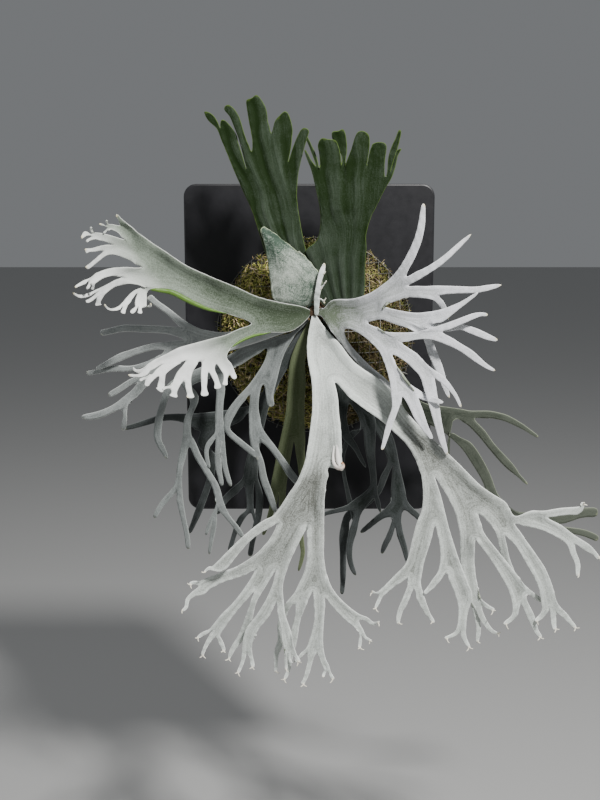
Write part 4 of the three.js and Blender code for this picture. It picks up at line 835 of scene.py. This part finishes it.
def eased_path(points, steps, rounds=5):
    """A path through the points at even steps, with its corners taken off."""
    points = np.array(points)
    far = travelled(points)
    even = np.linspace(0, far[-1], steps)
    path = np.stack([np.interp(even, far, column) for column in points.T], 1)
    for _ in range(rounds):
        path[1:-1] = (path[:-2] + path[1:-1] * 2 + path[2:]) / 4
    return path


def off_sheet(leaf_piece, line, proud):
    """The line's places in the room, which rise over two steps to so far in front of the blade.

    As the line runs past the rim, the nearest blade up to a few millimetres beside it counts."""
    placed = []
    for n, (x, z) in enumerate(line):
        seats = [from_sheet(leaf_piece, (x - mm) / 1000, (z + mm) / 1000).y for mm in range(BESIDE_MM)]
        depth = min(seats) - proud * min(1.0, n / 2)
        share = (EYE.y - depth) / (EYE.y + SHEET_OUT)
        placed.append((EYE.x + (x / 1000 - EYE.x) * share, depth, EYE.z + (z / 1000 - EYE.z) * share))
    print("lobe line at depths", [round(place[1], 4) for place in placed])
    return placed


# %% Rolled lobe
LOBE_ROLL = [(28.6, -100), (27.7, -108.6), (27.2, -116.4), (29.1, -123.3), (33.8, -127.6), (38.9, -127),
             (40.3, -122.7), (37.5, -120)]
LOBE_PAD = [(31.5, -99), (32.7, -108.6), (33.9, -117), (35.1, -124.6)]
ROLL_PROUD, PAD_PROUD = 0.0024, 0.002


def rolled_lobe(steps=28, sides=12):
    centre = bpy.data.objects["frond_centre_leaf"]
    roll = eased_path(off_sheet(centre, LOBE_ROLL, ROLL_PROUD), steps)
    pad = eased_path(off_sheet(centre, LOBE_PAD, PAD_PROUD), steps)
    t = np.linspace(0, 1, steps)
    roll_size = 0.0003 + 0.0018 * np.sin(math.pi * (0.03 + 0.8 * t)) ** 0.8
    pad_size = 0.0004 + 0.0028 * np.sin(math.pi * t ** 1.4) ** 0.8
    mesh = tubes("rolled_lobe", [roll, pad], [roll_size, pad_size], sides)
    write_attribute(mesh, "wither", np.repeat(np.concatenate([t ** 3, t * 0]), sides))
    place("rolled_lobe", mesh, [lobe_felt], "silver_leaf")
    print("rolled lobe", len(mesh.vertices), "points")


f = Finish("lobe_felt")
felt_grain = f.grain(700, 2)
lobe_colour = f.blend(f.attribute("wither").clamped(), (0.82, 0.79, 0.76), (0.42, 0.2, 0.09))
lobe_felt = f.surface(Base_Color=lobe_colour, Roughness=0.8, Normal=f.bump(felt_grain, 0.0004, 0.5))
rolled_lobe()

# %% [markdown]
# ## Antler tips
# Every limb of the hanging frond ends in small cream horns that part and curl forwards. The young bud has a
# few of the same horns along one rim. They are too fine for the solid's outline, so they are short tapered
# tubes that start inside the leaf.

# %% One horn
HORN_SIZES = (0.0008, 0.0008, 0.00075, 0.0007, 0.00065, 0.0006, 0.0003)
HORN_SIDES = 8


def horn(root, way, side, out, length):
    """A path that leaves the root along its way and bends to the side and out."""
    root, way, side, out = map(np.array, (root, way, side, out))
    t = np.linspace(0, 1, len(HORN_SIZES))[:, None]
    bend = side * (0.2 * t + 0.55 * t ** 2) + out * 0.35 * t ** 2
    return root + length * (way * (t - 0.35 * t ** 2) + bend)


print("a horn is", HORN_SIZES[0] * 2000, "mm thick at its root")

# %% Antler tips
LOW_LIMBS_MM = 210
TIP_SIZE = 0.008
ROOT_BACK, ROOT_IN = 0.0014, 0.0003
HORN_LENGTHS = (0.0035, 0.0062)
BUD_TEETH = (0.098, 0.09, 0.081, 0.073)
BUD_BAND, BUD_ROOT_IN, BUD_HORN_LENGTH = 0.003, 0.0006, 0.0042


def tip_horns(rng):
    """Horns at the tips of the hanging frond's low limbs."""
    mesh = bpy.data.objects["frond_centre_leaf"].data
    points = points_of(mesh)
    along = values_of(mesh.attributes["along_mm"].data, "value")
    tree = tree_of(points)
    paths = []
    for tip in tips_of(points, rim_points(mesh), along):
        near = [i for _, i, _ in tree.find_range(tip, TIP_SIZE)]
        if along[near].max() < LOW_LIMBS_MM:
            continue
        way = Vector(tip - points[near].mean(axis=0)).normalized()
        out = mesh.vertices[tree.find(tip)[1]].normal.copy()
        out = out if out.dot(EYE - Vector(tip)) > 0 else -out
        side = way.cross(out).normalized()
        for sense in rng.choice([(-1, 1), (-1, 1), (-1, 1), (-1,), (1,)]):
            root = Vector(tip) - way * ROOT_BACK - out * ROOT_IN
            paths.append(horn(root, way, side * sense, out, rng.uniform(*HORN_LENGTHS)))
    return paths


def bud_horns():
    """Horns along the right rim of the bud, at their heights."""
    mesh = bpy.data.objects["bud_frond_leaf"].data
    points = points_of(mesh)
    rim = points[rim_points(mesh)]
    paths = []
    for height in BUD_TEETH:
        near = rim[np.abs(rim[:, 2] - height) < BUD_BAND]
        root = near[np.argmax(near[:, 0])] - (BUD_ROOT_IN, 0, 0)
        paths.append(horn(root, (0.8, -0.2, 0.3), (0.1, 0, 0.9), (0, -1, 0), BUD_HORN_LENGTH))
    return paths


horns = {"frond_centre_horns": tip_horns(random.Random(71)), "bud_frond_horns": bud_horns()}
print("horns", [len(paths) for paths in horns.values()])

# %% Horns in place
f = Finish("cream_horn")
horn_grain = f.grain(900, 2)
cream_horn = f.surface(Base_Color=f.blend(horn_grain, (0.88, 0.86, 0.78), (0.74, 0.7, 0.56)), Roughness=0.75)
for name, paths in horns.items():
    place(name, tubes(name, paths, [HORN_SIZES] * len(paths), HORN_SIDES), [cream_horn], "silver_leaf")
    print(name, len(bpy.data.objects[name].data.vertices), "points")

# %% [markdown]
# ## Moss
# The cushion is long-fibre moss: dry brown and tan fibres, matted in all directions, with some green sprigs.
# A hair system could grow them, but it doesn't last through an export, and thin tubes do. Under the fibres
# lies the plain mound with a lumpy surface, so a gap between strands shows nothing but moss.

# %% Moss bed
BOARD_FRONT = -0.012
COARSE = 0.006
LUMPS_PER_METRE = 160
LUMP, SUNK = 0.0016, 0.0008


def moss_bed():
    bm = bmesh.new()
    bm.from_mesh(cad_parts["moss_mound"].data)
    bmesh.ops.remove_doubles(bm, verts=bm.verts, dist=WELD)
    bmesh.ops.triangulate(bm, faces=bm.faces)
    tree = BVHTree.FromBMesh(bm)
    long = [e for e in bm.edges if e.calc_length() > COARSE]
    bmesh.ops.subdivide_edges(bm, edges=long, cuts=3, use_grid_fill=True)
    bm.normal_update()
    for v in bm.verts:
        if v.co.y < BOARD_FRONT - 0.0005:
            lump = noise.fractal(v.co * LUMPS_PER_METRE, 1.0, 2.0, 3)
            v.co += v.normal * (LUMP * lump - SUNK)
    mesh = mesh_from("moss_bed", bm)
    mesh.shade_smooth()
    return mesh, tree


f = Finish("moss_bed")
mottle = f.grain(260, 4, 0.7)
bed_colour = f.node("ShaderNodeValToRGB", {"stops": [(0.3, (0.02, 0.014, 0.006)), (0.5, (0.075, 0.05, 0.02)),
                                                     (0.7, (0.13, 0.11, 0.04))]}, {"Fac": mottle})
bed_finish = f.surface(Base_Color=bed_colour, Roughness=0.95, Normal=f.bump(mottle, 0.003))
bed, mound_tree = moss_bed()
place("moss_bed", bed, [bed_finish], "moss", "moss_mound")
print("moss bed", len(bed.vertices), "points")

# %% [markdown]
# Three kinds of strand make it look like moss: short tufts that stand on end, longer fibres that lie about,
# and a few curled dry scraps. Each strand is dark at its root and light at its end, as if it grew out of its
# own shadow. The moss on the left is fresher and greener, and its strands are also painted brighter, as
# light. Low on the right the strands are painted darker, as shade under the right frond. Past the mound's
# rim, the strands are shorter and lie on the board.

# %% One strand of moss
MOUND_CENTRE = middle_of(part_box("moss_mound"))
MOSS_REACH = 0.117
LYING = 0.3
ROOT_DEPTH = 0.0008
ARCH = 0.0014


def on_mound(x, z):
    hit, normal, _, _ = mound_tree.ray_cast(Vector((x, -0.3, z)), Vector((0, 1, 0)))
    return (hit, normal) if hit and hit.y < BOARD_FRONT else (None, None)


def moss_strand(rng, length, upright):
    """A curved strand from a random place on the mound, as five points. A lying one arches a little."""
    angle, reach = rng.uniform(0, 2 * math.pi), math.sqrt(rng.uniform(0, 1)) ** 0.75 * MOSS_REACH
    x, z = MOUND_CENTRE.x + reach * math.cos(angle), MOUND_CENTRE.z + reach * math.sin(angle)
    hit, normal = on_mound(x, z)
    if not hit:
        hit, normal = Vector((x, BOARD_FRONT - 0.0002, z)), Vector((0, -1, 0))
        length, upright = length * 0.6, upright * 0.5
    away = Vector((rng.gauss(0, 1), rng.gauss(0, 1), rng.gauss(0, 1))).cross(normal).normalized()
    bend = normal.cross(away) * rng.uniform(-0.6, 0.6)
    way = (normal * upright + away * (1 - upright)).normalized()
    droop = normal * 0.35 * upright
    root = hit - normal * ROOT_DEPTH - away * (length / 2 if upright < LYING else 0)
    steps = [root + (way * t + bend * t * t - droop * t * t) * length for t in (0, 0.25, 0.5, 0.75, 1)]
    if upright < LYING:
        steps = [p + normal * ARCH * math.sin(math.pi * i / 4) for i, p in enumerate(steps)]
    return [tuple(p) for p in steps]


print("mound centre", MOUND_CENTRE)

# %% Moss strands
FRESH_AND_LIT_X = 0.01
SHADE_X, SHADE_Z = 0.03, 0.06
STRAND_TAPER = np.array((0.8, 1, 0.95, 0.7, 0.25))
ROOT_TO_END = (0.25, 0.6, 1.0, 1.4, 1.7)
GREEN_MOSS = [(0.12, 0.13, 0.03), (0.2, 0.2, 0.055), (0.08, 0.09, 0.02), (0.26, 0.22, 0.09)]
BROWN_MOSS = [(0.19, 0.145, 0.075), (0.3, 0.24, 0.14), (0.09, 0.065, 0.035), (0.16, 0.145, 0.06)]
DRY_MOSS = [(0.45, 0.38, 0.25), (0.36, 0.27, 0.17), (0.55, 0.46, 0.36)]


def moss_strands(name, material, seed, count, lengths, radius, uprights, tints=None):
    rng = random.Random(seed)
    paths = [moss_strand(rng, rng.uniform(*lengths), rng.uniform(*uprights)) for _ in range(count)]
    radii = [radius * rng.uniform(0.6, 1.3) * STRAND_TAPER for _ in paths]
    shades = []
    for (x, _, z), *_ in paths:
        # Left of this line the moss is greener, and its strands are also painted brighter, as light;
        # everywhere the brightness also varies at random.
        green, light = (0.85, (1.6, 3.3)) if x < FRESH_AND_LIT_X else (0.5, (0.75, 1.4))
        chosen = rng.choice(tints or (GREEN_MOSS if rng.random() < green else BROWN_MOSS))
        tone_and_painted_light = rng.uniform(*light)
        # Strands low on the right are painted half as bright, as shade under the right frond.
        painted_shade = 0.5 if x > SHADE_X and z < SHADE_Z else 1.0
        shades.append(tuple(c * tone_and_painted_light * painted_shade for c in chosen))
    place(name, tubes(name, paths, radii, 3, shades, ROOT_TO_END), [material], "moss")
    print(name, count, "strands")


f = Finish("moss_strand")
moss_finish = f.surface(Base_Color=f.attribute("tint", "Color"), Roughness=0.85, Specular_IOR_Level=0.2)
f = Finish("dry_scrap")
dry_finish = f.surface(Base_Color=f.blend(f.grain(900, 2), f.attribute("tint", "Color"), (0.12, 0.07, 0.03)),
                       Roughness=0.8, Specular_IOR_Level=0.2)
moss_strands("moss_tufts", moss_finish, 41, 6500, (0.004, 0.009), 0.00065, (0.4, 0.9))
moss_strands("moss_fibres", moss_finish, 42, 2600, (0.01, 0.026), 0.00045, (0.0, 0.2))
moss_strands("moss_scraps", dry_finish, 43, 420, (0.006, 0.014), 0.0009, (0.1, 0.7), DRY_MOSS)

# %% [markdown]
# ## Netting and staples
# Welded netting with half-inch meshes is drawn tight over the moss. It could be dropped on the mound as a
# cloth, but a tight wire has a simple shape: the outer hull of the mound, which it touches only on the high
# lumps. The wires end on a rim wire that eight staples hold down.

# %% One wire
PITCH = 0.0127
WIRE = 0.00045
RIM = 0.119
NET_Y = -0.0129
NET_MIDDLE = Vector((0.007, 0, 0.018))
NET_LIFT = 0.0016
NET_STEP = 0.004


def on_net(along, across, along_x):
    x, z = (along, across) if along_x else (across, along)
    return NET_MIDDLE.x + x, NET_MIDDLE.z + z


def tight_wire(across, along_x, probes=120):
    """A wire from rim to rim. It feels for the mound and keeps to the outer hull of what it finds."""
    reach = math.sqrt(RIM ** 2 - across ** 2)
    hull = []
    for i in range(probes + 1):
        along = reach * math.sin((i / probes - 0.5) * math.pi)
        hit, _ = on_mound(*on_net(along, across, along_x))
        out = -(hit.y if hit and 0 < i < probes else NET_Y) + (NET_LIFT if hit else 0)
        while len(hull) > 1 and ((hull[-1][0] - hull[-2][0]) * (out - hull[-2][1])
                                 >= (hull[-1][1] - hull[-2][1]) * (along - hull[-2][0])):
            hull.pop()
        hull.append((along, out))
    far = travelled(hull)
    steps = np.linspace(0, far[-1], max(6, int(far[-1] / NET_STEP)))
    along, out = (np.interp(steps, far, column) for column in np.array(hull).T)
    x, z = on_net(along, np.full_like(along, across), along_x)
    return np.stack([x, -out, z], axis=1)


print("wires are laid every", PITCH * 1000, "mm")

# %% Netting
def rim_wire(steps=120):
    turn = np.linspace(0, 2 * math.pi, steps)
    x, z = NET_MIDDLE.x + RIM * np.cos(turn), NET_MIDDLE.z + RIM * np.sin(turn)
    return np.stack([x, np.full(steps, NET_Y), z], axis=1)


count = int(RIM / PITCH)
wires = [tight_wire(i * PITCH, True) for i in range(-count, count + 1)]
wires += [tight_wire(i * PITCH, False) + (0, -WIRE, 0) for i in range(-count, count + 1)]
wires.append(rim_wire())
f = Finish("dull_zinc")
tarnish = f.grain(120, 4, 0.65)
zinc = f.surface(Base_Color=f.blend(tarnish, (0.33, 0.34, 0.33), (0.12, 0.11, 0.09)), Metallic=0.85,
                 Roughness=0.35 + 0.35 * tarnish)
net = tubes("netting", wires, [WIRE] * len(wires), 6)
place("netting", net, [zinc], "netting", "wire_netting")
print("netting", len(wires), "wires")

# %% Staples
STAPLE_LEG = [(0.0039, -0.0065), (0.0039, -0.0134), (0.00354, -0.01424), (0.0027, -0.0146)]
STAPLE_WIRE = 0.00055


def staple_path(node):
    """Up one leg with its cut corner, over the bridge and down the other."""
    middle = middle_of(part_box(node))
    away = Vector((middle.x - NET_MIDDLE.x, 0, middle.z - NET_MIDDLE.z)).normalized()
    shape = [(-along, y) for along, y in STAPLE_LEG] + STAPLE_LEG[::-1]
    return [tuple(Vector((middle.x, y, middle.z)) + away * along) for along, y in shape]


staples = [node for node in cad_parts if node.startswith("net_staple")]
for node in staples:
    mesh = tubes(node + "_wire", [staple_path(node)], [STAPLE_WIRE], 8)
    place(node + "_wire", mesh, [zinc], "staple_steel", node)
print("staples", len(staples))

# %% [markdown]
# ## Rhizome
# All fronds leave a short creeping stem that bristles with papery brown scales. The stem itself keeps its
# solid, with a fibrous brown finish, and the scales are small pointed blades set round it, because roughness
# alone would leave its outline smooth.

# %% Rhizome
f = Finish("rhizome_bark")
fibres_of_bark = f.grain(420, 4, 0.7)
bark = f.surface(Base_Color=f.blend(fibres_of_bark, (0.03, 0.016, 0.008), (0.1, 0.06, 0.03)), Roughness=0.9,
                 Normal=f.bump(fibres_of_bark, 0.001))


def refinish(node, material):
    """A packed solid keeps its shape and gets a new finish."""
    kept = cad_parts[node]
    kept.data.materials.clear()
    kept.data.materials.append(material)
    return kept


print("finished", refinish("rhizome", bark).name)

# %% Scales
STEM_X, STEM_Z, STEM_RADIUS = 0.006, 0.057, 0.0098
STEM_REACH = (0.083, 0.1045)
SCALE_ROWS = ((0, 0.6), (0.3, 1), (0.65, 0.6))
SCALE_LENGTHS, SCALE_WIDTHS = (0.0035, 0.0065), (0.0006, 0.001)
PAPER = 0.00015


def scales(count, seed):
    rng = random.Random(seed)
    verts, faces, shade = [], [], []
    for _ in range(count):
        turn = rng.uniform(0, 2 * math.pi)
        out = rng.uniform(*STEM_REACH)
        away = Vector((math.cos(turn), 0, math.sin(turn)))
        root = Vector((STEM_X, -out, STEM_Z)) + away * STEM_RADIUS
        way = (away * rng.uniform(0.15, 0.7) + Vector((0, -1, 0))).normalized()
        side = way.cross(away).normalized()
        length, width = rng.uniform(*SCALE_LENGTHS), rng.uniform(*SCALE_WIDTHS)
        base = len(verts)
        for t, share in SCALE_ROWS:
            middle = root + way * length * t + away * 0.0006 * math.sin(t * 3)
            verts += [middle - side * width * share, middle + away * 0.0002, middle + side * width * share]
            shade += [1, 0, 1]
        verts.append(root + way * length)
        shade.append(0.6)
        faces += [(a, a + 1, a + 4, a + 3) for a in (base, base + 1, base + 3, base + 4)]
        faces += [(base + 6, base + 7, base + 9), (base + 7, base + 8, base + 9)]
    mesh = mesh_of("rhizome_scales", verts, faces)
    write_attribute(mesh, "margin", shade)
    mesh.shade_smooth()
    return mesh


f = Finish("papery_scale")
scale_colour = f.blend(f.attribute("margin"), (0.03, 0.016, 0.008), (0.2, 0.13, 0.07))
papery = f.surface(Base_Color=scale_colour, Roughness=0.7)
bristles = place("rhizome_scales", scales(420, 61), [papery], "rhizome")
thicken(bristles, PAPER)
print("scales", len(bristles.data.polygons), "faces")

# %% [markdown]
# ## Board and hanger
# The board is painted a satin charcoal black, with the faint unevenness of a rolled coat. It keeps its solid,
# shaded smooth over the rounded edge. The zinc-plated keyhole plate keeps its solid too, and the screws get a
# cross recess, which the solids leave out.

# %% Board and hanger
def smooth_by_angle(kept, degrees):
    bpy.context.view_layer.objects.active = kept
    bpy.ops.object.select_all(action="DESELECT")
    kept.select_set(True)
    bpy.ops.object.shade_smooth_by_angle(angle=math.radians(degrees))


f = Finish("satin_black")
roll = f.grain(90, 3, 0.6)
specks = f.grain(1400, 1)
satin = f.surface(Base_Color=f.blend(roll, (0.006, 0.006, 0.008), (0.012, 0.012, 0.015)),
                  Roughness=0.36 + 0.16 * roll + 0.06 * specks, Normal=f.bump(specks + roll, 0.0002, 0.25))
f = Finish("zinc_plate")
brushed = f.grain(300, 3)
plate_finish = f.surface(Base_Color=f.blend(brushed, (0.5, 0.51, 0.53), (0.66, 0.67, 0.68)), Metallic=1.0,
                         Roughness=0.26 + 0.2 * brushed)
for node, material, angle in (("board", satin, 50), ("keyhole_plate", plate_finish, 30)):
    smooth_by_angle(refinish(node, material), angle)
print("board and plate finished")

# %% Screw and recess
SCREW_SIDES = 24
SCREW_PROFILE = ((0.00001, -0.0001), (0.0036, -0.0001), (0.004, -0.0004), (0.0019, -0.0018),
                 (0.0018, -0.0055), (0.0002, -0.007))
RECESS_ARMS = ((0.0045, 0.003, 0.0009), (0.0009, 0.003, 0.0045))


def screw_mesh(name, axis):
    """The profile, as radius and depth, turned about the screw's axis."""
    verts = []
    for radius, y in SCREW_PROFILE:
        for k in range(SCREW_SIDES):
            turn = k / SCREW_SIDES * 2 * math.pi
            verts.append((axis.x + radius * math.cos(turn), y, axis.z + radius * math.sin(turn)))
    return mesh_of(name, verts, skin(0, len(SCREW_PROFILE), SCREW_SIDES))


def recess_mesh(axis):
    bm = bmesh.new()
    for size in RECESS_ARMS:
        for v in bmesh.ops.create_cube(bm, size=1)["verts"]:
            v.co = Vector([side * length for side, length in zip(v.co, size)]) + axis
    return mesh_from("recess", bm)


print("screws are", -SCREW_PROFILE[-1][1] * 1000, "mm long")

# %% Screws in place
for n in (1, 2):
    node = f"plate_screw_{n}"
    axis = middle_of(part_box(node))
    axis.y = 0
    screw, recess = linked("screw", screw_mesh(node + "_head", axis)), linked("recess", recess_mesh(axis))
    cut = screw.modifiers.new("recess", "BOOLEAN")
    cut.object = recess
    cut.operation = "DIFFERENCE"
    cut.use_self = True
    place(node + "_cross", built_mesh(screw), [plate_finish], "screw_steel", node)
    bpy.data.objects.remove(recess)
    print(node, "with a cross recess")

# %% [markdown]
# ## Size
# The dressed fern has to keep the solids' size.
